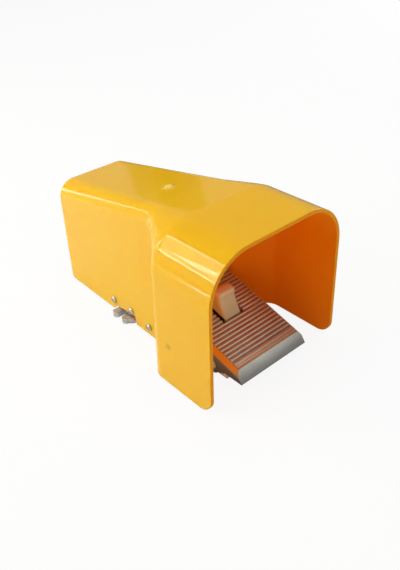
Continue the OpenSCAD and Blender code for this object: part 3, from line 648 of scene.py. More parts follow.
FINISHES = (
    Finish("guard_yellow", (0.865, 0.475, 0.006), (0.845, 0.45, 0.005), 0.09, coat=0.15, spread=0.03,
           mottle_scale=9.0, mottle=0.6, grain_scale=260.0, relief=0.006, specular=0.26, translucence=0.5,
           # a darker spot over the sink mark on the left, then a painted highlight on the gate pip on top
           marks=(Mark((-61.9, -62.4, 34.6), 3.6, (0.42, 0.2, 0.01), 0.5),
                  Mark((-0.6, 4.6, 110.3), 5.0, (0.98, 0.72, 0.2), 0.85))),
    # cut edges of the guard: a darker, deeper amber copy of the yellow plastic, painted shade of the rim
    Finish("guard_rim", (0.85, 0.365, 0.004), (0.83, 0.34, 0.004), 0.42, spread=0.04,
           mottle_scale=30.0, mottle=0.6, grain_scale=400.0, relief=0.008, specular=0.08, translucence=0.5),
    # inside of the guard: a darker, deeper orange copy of the yellow plastic as painted shade of the hood's
    # inside, with a painted glow for light seeping through the wall
    Finish("guard_inside", (0.9, 0.26, 0.003), (0.87, 0.24, 0.003), 0.46, spread=0.06,
           mottle_scale=14.0, mottle=0.6, grain=Grain.MATT, grain_scale=900.0, relief=0.02, specular=0.1,
           translucence=0.5, dim_shine=(0.05, 0.018, 0.0), lit_shine=(0.36, 0.19, 0.004)),
    # treadle: its groove colour is painted shade
    Finish("treadle_alloy", (0.66, 0.68, 0.6), (0.58, 0.6, 0.53), 0.4, metallic=0.82, spread=0.14,
           mottle_scale=60.0, grain=Grain.BRUSHED, grain_scale=2400.0, relief=0.012,
           worn=(0.84, 0.78, 0.72), wear_and_glint=0.4, painted_shading=(0.42, 0.26, 0.11)),
    # latch: the tan-orange base is its pale grey alloy with painted orange light from the guard; its groove
    # colour is painted shade, darkest on its left foot in the slot
    Finish("latch_alloy", (0.88, 0.66, 0.37), (0.81, 0.59, 0.31), 0.45, metallic=0.25, spread=0.12,
           mottle_scale=90.0, grain=Grain.CAST, grain_scale=1300.0, relief=0.02,
           worn=(0.9, 0.76, 0.56), wear_and_glint=0.4, painted_shading=(0.5, 0.33, 0.18)),
    # base: its edge colour is near white and strong, partly worn metal and partly painted highlights on the
    # lug tips
    Finish("base_alloy", (0.51, 0.51, 0.545), (0.41, 0.41, 0.445), 0.34, metallic=0.78, spread=0.16,
           mottle_scale=70.0, mottle=0.8, grain=Grain.CAST, grain_scale=1100.0, relief=0.05,
           worn=(0.97, 0.97, 0.99), wear_and_glint=1.7),
    Finish("valve_alloy", (0.62, 0.63, 0.65), (0.52, 0.53, 0.55), 0.32, metallic=0.9, spread=0.14,
           mottle_scale=60.0, grain=Grain.BRUSHED, grain_scale=2200.0, relief=0.01,
           worn=(0.8, 0.8, 0.82), wear_and_glint=0.6),
    Finish("steel", (0.56, 0.55, 0.53), (0.44, 0.43, 0.42), 0.27, metallic=1.0, spread=0.16,
           mottle_scale=120.0, grain=Grain.BRUSHED, grain_scale=2600.0, relief=0.008,
           worn=(0.78, 0.77, 0.75), wear_and_glint=0.6),
    Finish("spring_steel", (0.4, 0.4, 0.41), (0.28, 0.28, 0.3), 0.3, metallic=1.0, spread=0.14,
           mottle_scale=160.0, mottle=0.8, grain=Grain.BRUSHED, grain_scale=2200.0, relief=0.006),
    Finish("zinc_screw", (0.58, 0.54, 0.46), (0.44, 0.39, 0.31), 0.15, metallic=1.0, spread=0.12,
           mottle_scale=260.0, grain=Grain.CAST, grain_scale=2600.0, relief=0.006,
           worn=(0.9, 0.89, 0.86), wear_and_glint=0.5),
    Finish("bronze", (0.55, 0.33, 0.14), (0.42, 0.24, 0.1), 0.36, metallic=1.0, spread=0.16,
           mottle_scale=140.0, mottle=0.8, grain=Grain.BRUSHED, grain_scale=2400.0, relief=0.008,
           worn=(0.75, 0.5, 0.26), wear_and_glint=0.5),
    Finish("brass", (0.71, 0.5, 0.19), (0.6, 0.4, 0.14), 0.27, metallic=1.0, spread=0.14,
           mottle_scale=140.0, grain=Grain.BRUSHED, grain_scale=2400.0, relief=0.008,
           worn=(0.86, 0.68, 0.34), wear_and_glint=0.5),
    Finish("black_rubber", (0.022, 0.022, 0.023), (0.035, 0.034, 0.033), 0.72, spread=0.14,
           mottle_scale=120.0, mottle=0.8, grain=Grain.MATT, grain_scale=1600.0, relief=0.03),
)


class Bench:
    """The loaded frame, with the materials and the bookkeeping of pieces."""

    def __init__(self, frame: dict) -> None:
        """Reads bodies and material slots from the frame.
        """
        self.nodes: dict[str, bpy.types.Object] = frame["nodes"]
        record = frame["record"]
        self.slots = {row["node"]: row["material_slot"] for row in record["subparts"]}
        self.bodies = {node: body for body, nodes in record["behaviour"]["bodies"].items() for node in nodes}
        groups = SurfaceGroups()
        self.materials = {finish.name: finish.material(groups) for finish in FINISHES}

    def paint_all(self) -> None:
        """Gives every CAD node its slot's finish."""
        for name, thing in self.nodes.items():
            thing.data.materials.clear()
            thing.data.materials.append(self.materials[self.slots[name]])

    def fix(self, piece: bpy.types.Object, node: str, stands: bool = True) -> bpy.types.Object:
        """Fixes a piece to the body of a CAD node and logs it.

        Args:
            piece: The new piece, in place.
            node: The node that carries it.
            stands: Whether the piece takes the node's place.

        Returns:
            The piece.
        """
        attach(piece, self.bodies[node])
        if stands:
            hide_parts(node)
        LOG.info("%s: %d faces", piece.name, len(piece.data.polygons))
        return piece

    def mesh_piece(self, name: str, points: Sequence[Point], faces: Sequence[Face],
                   finish: str) -> bpy.types.Object:
        """Makes a smooth mesh object from points in metres.

        Args:
            name: Name of the piece.
            points: Vertices.
            faces: Faces as vertex numbers.
            finish: Name of its finish.

        Returns:
            The linked object.
        """
        mesh = bpy.data.meshes.new(name)
        mesh.from_pydata(points, [], faces)
        return self.finish_mesh(name, mesh, finish)

    def finish_mesh(self, name: str, mesh: bpy.types.Mesh, *finishes: str,
                    crease: float = 40.0) -> bpy.types.Object:
        """Shades a mesh smooth up to a crease angle and links it.

        Args:
            name: Name of the piece.
            mesh: Its mesh.
            finishes: Names of its finishes, in slot order.
            crease: Edges sharper than this stay sharp, in degrees.

        Returns:
            The linked object.
        """
        mesh.validate()
        mesh.polygons.foreach_set("use_smooth", [True] * len(mesh.polygons))
        mesh.set_sharp_from_angle(angle=math.radians(crease))
        for finish in finishes:
            mesh.materials.append(self.materials[finish])
        return place_object(name, mesh)

    def copy_of(self, node: str) -> bmesh.types.BMesh:
        """Copies a CAD node's mesh with its flat faces merged.

        Args:
            node: The node to copy.

        Returns:
            The copy, to be freed by keep().
        """
        same_spot, same_plane = 0.002 * MM, math.radians(0.6)
        shape = bmesh.new()
        shape.from_mesh(self.nodes[node].data)
        bmesh.ops.remove_doubles(shape, verts=shape.verts, dist=same_spot)
        bmesh.ops.dissolve_limit(shape, angle_limit=same_plane, verts=shape.verts, edges=shape.edges)
        bmesh.ops.recalc_face_normals(shape, faces=shape.faces)
        return shape

    @staticmethod
    def sharp_edges(shape: bmesh.types.BMesh, angle: float = 35.0) -> list[bmesh.types.BMEdge]:
        """Edges of a shape that turn by more than an angle in degrees."""
        least = math.radians(angle)
        return [edge for edge in shape.edges if edge.is_manifold and edge.calc_face_angle() > least]

    @staticmethod
    def round_off(shape: bmesh.types.BMesh, edges: Sequence[bmesh.types.BMEdge], radius: float, steps: int,
                  clamped: bool = True) -> None:
        """Rounds edges of a shape.

        Args:
            shape: The shape.
            edges: Its edges to round.
            radius: Size of the rounding, in millimetres.
            steps: Steps of the rounding.
            clamped: Whether the radius gives way where edges are short.
        """
        bmesh.ops.bevel(shape, geom=edges, offset=radius * MM, offset_type="OFFSET", segments=steps,
                        profile=0.5, affect="EDGES", clamp_overlap=clamped, loop_slide=True)

    def keep(self, shape: bmesh.types.BMesh, node: str, name: str) -> bpy.types.Object:
        """Turns a worked copy into the piece that stands for its node.

        Args:
            shape: The worked copy.
            node: The node that it was copied from.
            name: Name of the piece.

        Returns:
            The piece.
        """
        mesh = bpy.data.meshes.new(name)
        shape.to_mesh(mesh)
        shape.free()
        return self.fix(self.finish_mesh(name, mesh, self.slots[node]), node)


@dataclass
class GuardHood:
    """The moulded guard: a tapering rear box that flares into a rounded hood. Sizes in millimetres."""

    bench: Bench
    length: float = 209.2
    rear_width: float = 74.5
    neck_width: float = 77.5
    hood_width: float = 125.0
    rear_height: float = 91.6
    neck_height: float = 112.4
    shoulder_height: float = 118.7
    hood_height: float = 119.2
    flare_start: float = 117.6
    flare_end: float = 156.2
    rear_corner: float = 14.5
    box_corner: float = 10.6
    hood_corner: float = 33.8
    wall: float = 2.8
    draft: float = math.radians(0.9)
    floor: float = 0.6
    cell: float = 4.0 / 3.0
    front_cells: int = 9
    rear_cells: int = 3
    edge_round: float = 0.82
    edge_steps: int = 3
    crease: float = 60.0
    ease: float = 0.2
    flare_steps: int = 18
    arc_steps: int = 16
    near: float = 1e-6
    mark_step: float = 0.7
    gate_reach: int = 8
    sink_reach: int = 5
    stops: tuple[float, ...] = (8.0, 13.0, 19.0, 26.0, 33.0, 40.0, 47.0, 54.0, 59.5, 62.6, 66.1, 68.0, 72.0,
                                75.0, 80.0, 85.0, 89.0, 92.0, 107.0, 111.5, 115.0, 158.6, 161.2, 173.5,
                                178.0, 183.0, 188.0, 193.0)
    side_shares: tuple[float, ...] = (0.0, 0.06, 0.12, 0.18, 0.23, 0.255, 0.275, 0.29, 0.303, 0.316, 0.331,
                                      0.351, 0.38, 0.43, 0.5, 0.57, 0.64, 0.71, 0.78, 0.85, 0.92)
    top_shares: tuple[float, ...] = (0.12, 0.25, 0.38, 0.5, 0.6, 0.68, 0.76, 0.83, 0.88, 0.91, 0.935, 0.96,
                                     0.98, 1.0)
    notch: tuple[float, float, float, float] = (64.2, 69.9, 94.2, 95.8)
    notch_rear_rise: float = 5.2
    notch_front_rise: float = 7.7
    notch_fade: float = 24.0
    crease_lean: float = 13.5
    knee_z: float = 82.0
    lean_top: float = 108.0
    lean_run: float = 18.0
    gate_station: float = 100.0
    gate_radius: float = 3.5
    gate_rise: float = 1.7
    sink_station: float = 167.0
    sink_z: float = 34.6
    sink_radius: float = 1.7
    sink_depth: float = 0.6

    def y_of(self, station: float) -> float:
        """Y of a station counted forward from the rear end."""
        return self.length / 2 - station

    def flare(self, station: float) -> float:
        """Share of the way from box to hood, eased at both ends.

        Args:
            station: Station along the guard.

        Returns:
            0 on the rear box, 1 on the hood.
        """
        t = clamp((station - self.flare_start) / (self.flare_end - self.flare_start))
        bend = 2 * self.ease * (1 - self.ease)
        if t < self.ease:
            return t * t / bend
        if t > 1 - self.ease:
            return 1 - (1 - t) ** 2 / bend
        return (t - self.ease / 2) / (1 - self.ease)

    def half_width(self, station: float) -> float:
        """Half of the outer width at the floor."""
        box = track(station, (0.0, self.rear_width), (self.flare_start, self.neck_width))
        return lerp(box, self.hood_width, self.flare(station)) / 2

    def top(self, station: float) -> float:
        """Outer height at a station."""
        return track(station, (0.0, self.rear_height), (self.flare_start, self.neck_height),
                     (self.flare_end, self.shoulder_height), (self.length, self.hood_height))

    def side_x(self, station: float, inset: float, z: float) -> float:
        """Half width of the drafted side at a height."""
        return self.half_width(station) - inset / math.cos(self.draft) - z * math.tan(self.draft)

    def lean(self, station: float, z: float) -> float:
        """How far the crease at the flare's start leans forward.

        Args:
            station: Station along the guard.
            z: Height of the point.

        Returns:
            Shift of the station.
        """
        rise = track(z, (0.0, 0.0), (self.knee_z, 1.0), (self.lean_top, 0.0))
        ahead = track(station, (self.flare_start - self.lean_run, 0.0), (self.flare_start, 1.0),
                      (self.flare_end, 0.0))
        return self.crease_lean * rise * ahead

    def notch_lift(self, station: float) -> float:
        """Rise of the lower edge over the fixing lug."""
        return track(station, *zip(self.notch, (0.0, self.notch_rear_rise, self.notch_front_rise, 0.0)))

    def spot(self, station: float, row: tuple[str, float], inset: float) -> tuple[float, float]:
        """X and Z of a point on the right half.

        Args:
            station: Station along the guard.
            row: Kind of row and its value: height, share of the side, angle or share of the top.
            inset: Depth below the outer surface.

        Returns:
            X and Z in millimetres.
        """
        kind, value = row
        box = track(station, (0.0, self.rear_corner), (self.flare_start, self.box_corner))
        radius = lerp(box, self.hood_corner, self.flare(station)) - inset
        arc_z = self.top(station) - inset - radius
        arc_x = self.side_x(station, inset, arc_z) - radius / math.cos(self.draft)
        if kind == "arc":
            return arc_x + radius * math.cos(value), arc_z + radius * math.sin(value)
        if kind == "top":
            return arc_x * (1 - value), arc_z + radius
        low = self.floor + self.cell * self.front_cells
        meet = arc_z + radius * math.sin(self.draft)
        z = value if kind == "low" else lerp(low, meet, value)
        z += self.notch_lift(station) * clamp(1 - (z - self.floor) / self.notch_fade)
        return self.side_x(station, inset, z), z

    def rows(self) -> list[tuple[str, float]]:
        """Rows of the right half from the lower edge up to the middle of the top.

        Returns:
            Kind and value of each row.
        """
        low = [("low", self.floor + self.cell * k) for k in range(self.front_cells)]
        sides = [("side", share) for share in self.side_shares]
        arcs = [("arc", lerp(self.draft, math.pi / 2, k / self.arc_steps)) for k in range(self.arc_steps + 1)]
        return low + sides + arcs + [("top", share) for share in self.top_shares]

    def stations(self) -> list[float]:
        """Stations of the mesh, closer where the form turns or carries a small feature.

        Returns:
            Sorted stations.
        """
        found = {self.cell * k for k in range(self.rear_cells + 1)}
        found |= {self.length - self.cell * k for k in range(self.front_cells + 1)}
        found |= set(self.notch) | set(self.stops)
        found |= {lerp(self.flare_start, self.flare_end, k / self.flare_steps)
                  for k in range(self.flare_steps + 1)}
        for middle, reach in ((self.gate_station, self.gate_reach), (self.sink_station, self.sink_reach)):
            found |= {middle + self.mark_step * k for k in range(-reach, reach + 1)}
        return sorted(found)

    def relief(self, x: float, station: float, z: float, side: int) -> tuple[float, float]:
        """Small marks of the moulding on the outer face.

        Args:
            x: Half width of the point.
            station: Its station.
            z: Its height.
            side: 1 on the right, -1 on the left.

        Returns:
            Change of the half width and of the height.
        """
        gate = math.hypot(x, station - self.gate_station) / self.gate_radius
        sink = math.hypot(z - self.sink_z, station - self.sink_station) / self.sink_radius
        lift = self.gate_rise * math.exp(-gate ** 4) if z > self.rear_height else 0.0
        dent = self.sink_depth * math.exp(-sink ** 2) if side < 0 else 0.0
        return -dent, lift

    def build(self) -> bpy.types.Object:
        """Builds the guard as one closed shell with rounded edges.

        Returns:
            The guard, standing for its node.
        """
        points: list[Point] = []
        index: dict[tuple, int] = {}
        rows = self.rows()
        stations = self.stations()

        def corner(station: float, row: tuple[str, float], side: int) -> int:
            """Finds the vertex at a station and row, and makes it when it is first asked for.

            Args:
                station: Station along the guard.
                row: Kind of row and its value.
                side: 1 on the right, -1 on the left.

            Returns:
                The vertex number.
            """
            shared = 1 if row == ("top", 1.0) else side
            key = (round(station, 4), row[0], round(row[1], 4), shared)
            if key not in index:
                index[key] = len(points)
                points.append((station, row, side))
            return index[key]

        front = self.length - self.cell * self.front_cells - self.near
        rear = self.cell * self.rear_cells + self.near
        cells: list[Face] = []
        for side in (1, -1):
            for a, b in zip(stations, stations[1:]):
                for k, (lower, upper) in enumerate(zip(rows, rows[1:])):
                    in_front = a >= front and k < self.front_cells
                    in_rear = b <= rear and k < self.rear_cells
                    if not in_front and not in_rear:
                        cells.append(tuple(corner(s, r, side) for s, r in
                                           ((a, lower), (b, lower), (b, upper), (a, upper))))
            cells += self._round_corner(corner, side, self.front_cells, 1)
            cells += self._round_corner(corner, side, self.rear_cells, -1)
        return self._shell(points, cells)

    def _round_corner(self, corner: Callable[..., int], side: int, count: int, ahead: int) -> list[Face]:
        """Rounded lower corner of a side, as rings round its centre.

        Args:
            corner: Gives a vertex number.
            side: 1 on the right, -1 on the left.
            count: Rings of the corner.
            ahead: 1 at the front end, -1 at the rear end.

        Returns:
            Its faces.
        """
        reach = self.cell * count
        centre = self.length - reach if ahead > 0 else reach
        level = self.floor + reach
        spokes = 2 * count

        def at(ring: int, spoke: int) -> int:
            """Finds the vertex on a ring and spoke.

            Args:
                ring: Ring from the centre.
                spoke: Spoke, from level to upright.

            Returns:
                The vertex number.
            """
            turn = math.pi / 2 * spoke / spokes
            station = centre + ahead * self.cell * ring * math.cos(turn)
            z = level - self.cell * ring * math.sin(turn)
            if abs(z - self.floor - self.cell * self.front_cells) < self.near:
                return corner(station, ("side", 0.0), side)
            return corner(station, ("low", z), side)

        faces: list[Face] = []
        for spoke in range(spokes):
            faces.append((at(0, 0), at(1, spoke), at(1, spoke + 1)))
            for ring in range(1, count):
                faces.append((at(ring, spoke), at(ring + 1, spoke),
                              at(ring + 1, spoke + 1), at(ring, spoke + 1)))
        return faces

    def _shell(self, spots: Sequence[tuple], cells: Sequence[Face]) -> bpy.types.Object:
        """Closes outer and inner skins into a shell and rounds its edges.

        Args:
            spots: Station, row and side of each vertex of one skin.
            cells: Faces of one skin.

        Returns:
            The guard, standing for its node.
        """
        shape = bmesh.new()
        skins: list[list[bmesh.types.BMVert]] = []
        for inset in (0.0, self.wall):
            skin = []
            for station, row, side in spots:
                x, z = self.spot(station, row, inset)
                if inset == 0.0:
                    out, up = self.relief(x, station, z, side)
                    x, z = x + out, z + up
                y = self.y_of(station + self.lean(station, z))
                skin.append(shape.verts.new((side * x * MM, y * MM, z * MM)))
            skins.append(skin)
        outer, inner = skins
        for cell in cells:
            shape.faces.new([outer[k] for k in cell])
            shape.faces.new([inner[k] for k in reversed(cell)]).material_index = 1
        twins = dict(zip(outer, inner))
        rims = [edge for edge in shape.edges if edge.is_boundary and edge.verts[0] in twins]
        borders = [edge for edge in shape.edges if edge.is_boundary]
        for edge in rims:
            a, b = edge.verts
            shape.faces.new([a, b, twins[b], twins[a]]).material_index = 2
        bmesh.ops.recalc_face_normals(shape, faces=shape.faces)
        bmesh.ops.bevel(shape, geom=borders, offset=self.edge_round * MM, offset_type="OFFSET",
                        segments=self.edge_steps, profile=0.5, affect="EDGES", clamp_overlap=True, material=2)
        mesh = bpy.data.meshes.new("guard_hood")
        shape.to_mesh(mesh)
        shape.free()
        piece = self.bench.finish_mesh("guard_hood", mesh, "guard_yellow", "guard_inside", "guard_rim",
                                       crease=self.crease)
        return self.bench.fix(piece, "guard_cover")


@dataclass
class CoilSpring:
    """A round wire spring with closed ends, laid in its node's box. Sizes in millimetres."""

    bench: Bench
    node: str
    axis: int
    wire: float
    joint: str
    anchor_high: bool
    keep: float
    turns: float = 6.0
    closed: float = 0.9
    closed_rise: float = 0.07
    sides: int = 10
    steps: int = 30

    def build(self) -> bpy.types.Object:
        """Winds the spring.

        Returns:
            The spring, standing for its node.
        """
        low, high = (Vector(corner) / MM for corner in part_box(self.node))
        count = int(self.turns * self.steps)
        points = self._wound(low, high, count)
        ends = [tuple(range(self.sides)), tuple(range(count * self.sides, (count + 1) * self.sides))]
        faces = tube_faces(count, self.sides) + ends
        piece = self.bench.mesh_piece(self.node + "_wire", points, faces, self.bench.slots[self.node])
        self.bench.fix(piece, self.node)
        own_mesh(piece)
        return piece

    def _wound(self, low: Vector, high: Vector, count: int) -> list[Point]:
        """Vertices of the wire, ring after ring.

        Args:
            low: Lowest corner of the node's box.
            high: Its highest corner.
            count: Steps along the wire.

        Returns:
            Points in metres.
        """
        across = [k for k in range(3) if k != self.axis]
        middle = [(low[k] + high[k]) / 2 for k in across]
        half_wire = self.wire / 2
        radius = (high[across[0]] - low[across[0]]) / 2 - half_wire
        start, end = low[self.axis] + half_wire, high[self.axis] - half_wire
        points: list[Point] = []
        for k in range(count + 1):
            turn = self.turns * k / count
            angle = turn * 2 * math.pi
            share = track(turn, (0.0, 0.0), (self.closed, self.closed_rise),
                          (self.turns - self.closed, 1 - self.closed_rise), (self.turns, 1.0))
            for side in range(self.sides):
                roll = 2 * math.pi * side / self.sides
                reach = radius + half_wire * math.cos(roll)
                spot = [0.0, 0.0, 0.0]
                spot[across[0]] = middle[0] + reach * math.cos(angle)
                spot[across[1]] = middle[1] + reach * math.sin(angle)
                spot[self.axis] = lerp(start, end, share) + half_wire * math.sin(roll)
                points.append(tuple(v * MM for v in spot))
        return points


@dataclass
class PortThreads:
    """Thread turns inside the five rear ports. Sizes in millimetres."""

    bench: Bench
    pitch: float = 1.337
    depth: float = 0.55
    lead_in: float = 1.2
    back: float = 0.02
    around: int = 36
    per_pitch: int = 6

    def build(self, record: dict) -> list[bpy.types.Object]:
        """Lines each threaded port of the record.

        Args:
            record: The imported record, for the ports' places.

        Returns:
            The liners.
        """
        ports = [mount for mount in record["mounts"] if mount["kind"] == "threaded_hole"]
        return [self._liner(mount) for mount in ports]

    def _liner(self, mount: dict) -> bpy.types.Object:
        """One thread liner.

        Args:
            mount: The port's mount row.

        Returns:
            The liner, riding with the valve block.
        """
        x, y, z = mount["pos_m"]
        bore = mount["dims"]["r_mm"] - self.back
        length = mount["dims"]["length_mm"]
        rings = int(length / self.pitch * self.per_pitch)
        points: list[Point] = []
        for ring in range(rings + 1):
            along = length * ring / rings
            fade = track(along, (0.0, 0.0), (self.lead_in, 1.0), (length - self.lead_in, 1.0), (length, 0.0))
            for k in range(self.around):
                share = k / self.around
                phase = (along / self.pitch + share) % 1.0
                height = self.depth * fade * (1 - abs(2 * phase - 1))
                angle = 2 * math.pi * share
                reach = (bore - height) * MM
                points.append((x + reach * math.cos(angle), y - along * MM, z + reach * math.sin(angle)))
        faces = tube_faces(rings, self.around, inward=True)
        slot = self.bench.slots["valve_body"]
        piece = self.bench.mesh_piece(mount["name"] + "_thread", points, faces, slot)
        return self.bench.fix(piece, "valve_body", stands=False)


@dataclass
class Treadle:
    """The ribbed treadle: rounded rib tops and eased edges. Sizes in millimetres."""

    bench: Bench
    rib_round: float = 0.55
    rib_steps: int = 3
    edge_round: float = 0.22
    edge_steps: int = 2
    level_slack: float = 0.06
    least_rib: float = 8.0

    def build(self) -> bpy.types.Object:
        """Rounds the ribs first and then the other edges.

        Returns:
            The treadle, standing for its node.
        """
        shape = self.bench.copy_of("pedal_plate")
        ribs = [edge for edge in self.bench.sharp_edges(shape) if self._tops_rib(edge)]
        self.bench.round_off(shape, ribs, self.rib_round, self.rib_steps, clamped=False)
        self.bench.round_off(shape, self.bench.sharp_edges(shape), self.edge_round, self.edge_steps)
        return self.bench.keep(shape, "pedal_plate", "treadle")

    def _tops_rib(self, edge: bmesh.types.BMEdge) -> bool:
        """Tells whether an edge runs along a rib at the level of the rib tops.

        Args:
            edge: The edge.

        Returns:
            True for a rib's top edge.
        """
        a, b = (v.co for v in edge.verts)
        level = all(abs(p.dot(Vector(RIB_NORMAL)) - RIB_LEVEL) < self.level_slack * MM for p in (a, b))
        return level and abs(a.x - b.x) > self.least_rib * MM


@dataclass
class LatchTab:
    """The latch: a thumb-worn tab above the treadle. Sizes in millimetres."""

    bench: Bench
    radius: float = 2.7
    steps: int = 6
    level: float = 36.0
    rear_y: float = -48.0

    def build(self) -> bpy.types.Object:
        """Rounds the tab where it stands out of the treadle.

        Returns:
            The latch, standing for its node.
        """
        shape = self.bench.copy_of("lock_lever")
        worn = [edge for edge in self.bench.sharp_edges(shape) if self._worn(edge)]
        self.bench.round_off(shape, worn, self.radius, self.steps, clamped=False)
        return self.bench.keep(shape, "lock_lever", "latch_tab")

    def _worn(self, edge: bmesh.types.BMEdge) -> bool:
        """Tells whether an edge is above the treadle and not across the back.

        Args:
            edge: The edge.

        Returns:
            True for an edge that a thumb wears.
        """
        a, b = (v.co for v in edge.verts)
        across_back = abs(a.x - b.x) > MM and min(a.y, b.y) > self.rear_y * MM
        return max(a.z, b.z) > self.level * MM and not across_back


@dataclass
class Castings:
    """CAD nodes that get eased edges: node, rounding in millimetres, piece name and steps."""

    bench: Bench
    soft: tuple[tuple[str, float, str, int], ...] = (
        ("base_casting", 0.6, "base_unit", 3),
        ("valve_body", 0.5, "valve_block", 3),
        ("front_cap", 0.4, "valve_front_cap", 2),
        ("guard_screws", 0.1, "guard_pan_heads", 2),
        ("end_plug", 0.25, "rear_plug", 2),
        ("lock_keeper", 0.3, "keeper_catch", 2),
        ("actuator_pad", 0.3, "wear_pad", 2),
    )

    def build(self) -> None:
        """Rounds each node of the list."""
        for node, radius, name, steps in self.soft:
            shape = self.bench.copy_of(node)
            self.bench.round_off(shape, self.bench.sharp_edges(shape), radius, steps)
            self.bench.keep(shape, node, name)


@dataclass(frozen=True)
class Lamp:
    """A soft rectangular lamp: centre and size in metres, power in watts, line of its height, and colour."""

    name: str
    place: Point
    size: tuple[float, float]
    power: float
    along: Point = (0.0, 0.0, 1.0)
    tint: Color = (1.0, 1.0, 1.0)

    def hang(self, aim: Point) -> None:
        """Hangs the lamp so that it points at the object.

        Args:
            aim: Where it points.
        """
        light = bpy.data.lights.new(self.name, "AREA")
        light.shape = "RECTANGLE"
        light.size, light.size_y = self.size
        light.energy = self.power
        light.color = self.tint
        centre, along = Vector(self.place), Vector(self.along)
        away = (centre - Vector(aim)).normalized()
        height = (along - away * away.dot(along)).normalized()
        turn = Matrix((height.cross(away), height, away)).transposed().to_4x4()
        place_object(self.name, light).matrix_world = Matrix.Translation(centre) @ turn


@dataclass(frozen=True)
class Flag:
    """A standing grey card: bearing in degrees from +Y to +X, then distance, height and width in metres."""

    name: str
    bearing: float
    reach: float
    height: float
    width: float
    shade: float

    def corners(self) -> list[Vector]:
        """Corners of the card, on the floor first.

        Returns:
            Its four corners in metres.
        """
        turn = math.radians(self.bearing)
        middle = Vector((math.sin(turn), math.cos(turn), 0.0)) * self.reach
        half = Vector((math.cos(turn), -math.sin(turn), 0.0)) * self.width / 2
        rise = Vector((0.0, 0.0, self.height))
        return [middle - half, middle + half, middle + half + rise, middle - half + rise]


LAMPS = (
    Lamp("key_left", (-1.15, 0.42, 0.85), (0.8, 0.7), 6.4),
    Lamp("top", (0.2, -0.1, 1.6), (1.5, 1.5), 8.0),
    Lamp("front_fill", (0.8, -1.4, 0.68), (1.4, 0.8), 3.1),
    Lamp("right_fill", (1.5, 0.25, 0.55), (0.9, 0.7), 7.0),
    Lamp("window", (-0.6, 0.57, 0.63), (0.5, 0.42), 2.6, (-0.03, -0.12, 0.05), (1.0, 0.98, 0.6)),
    Lamp("strip_floor", (-0.482, 0.27, 0.004), (0.012, 0.2), 0.1, (-0.18, 0.069, 0.0)),
    Lamp("strip_high", (-0.39, 0.574, 0.788), (0.05, 0.5), 0.5, (-0.027, -0.12, 0.056)),
    Lamp("strip_low", (-0.755, 0.572, 0.395), (0.05, 0.5), 0.9, (-0.061, -0.119, 0.011)),
    Lamp("strip_wedge", (-0.6585, 0.53, 0.595), (0.08, 0.25), 0.55, (0.047, -0.113, 0.175)),
    Lamp("strip_rear", (-0.405, 0.93, 0.35), (0.1, 0.45), 0.55, (0.02, -0.14, 0.186)),
)

FLAGS = (
    Flag("flag_left", 31.4, 2.2, 0.54, 0.092, 0.2),
    Flag("flag_dark", 33.9, 2.25, 0.66, 0.125, 0.09),
    Flag("flag_right", 36.4, 2.2, 0.68, 0.08, 0.18),
)


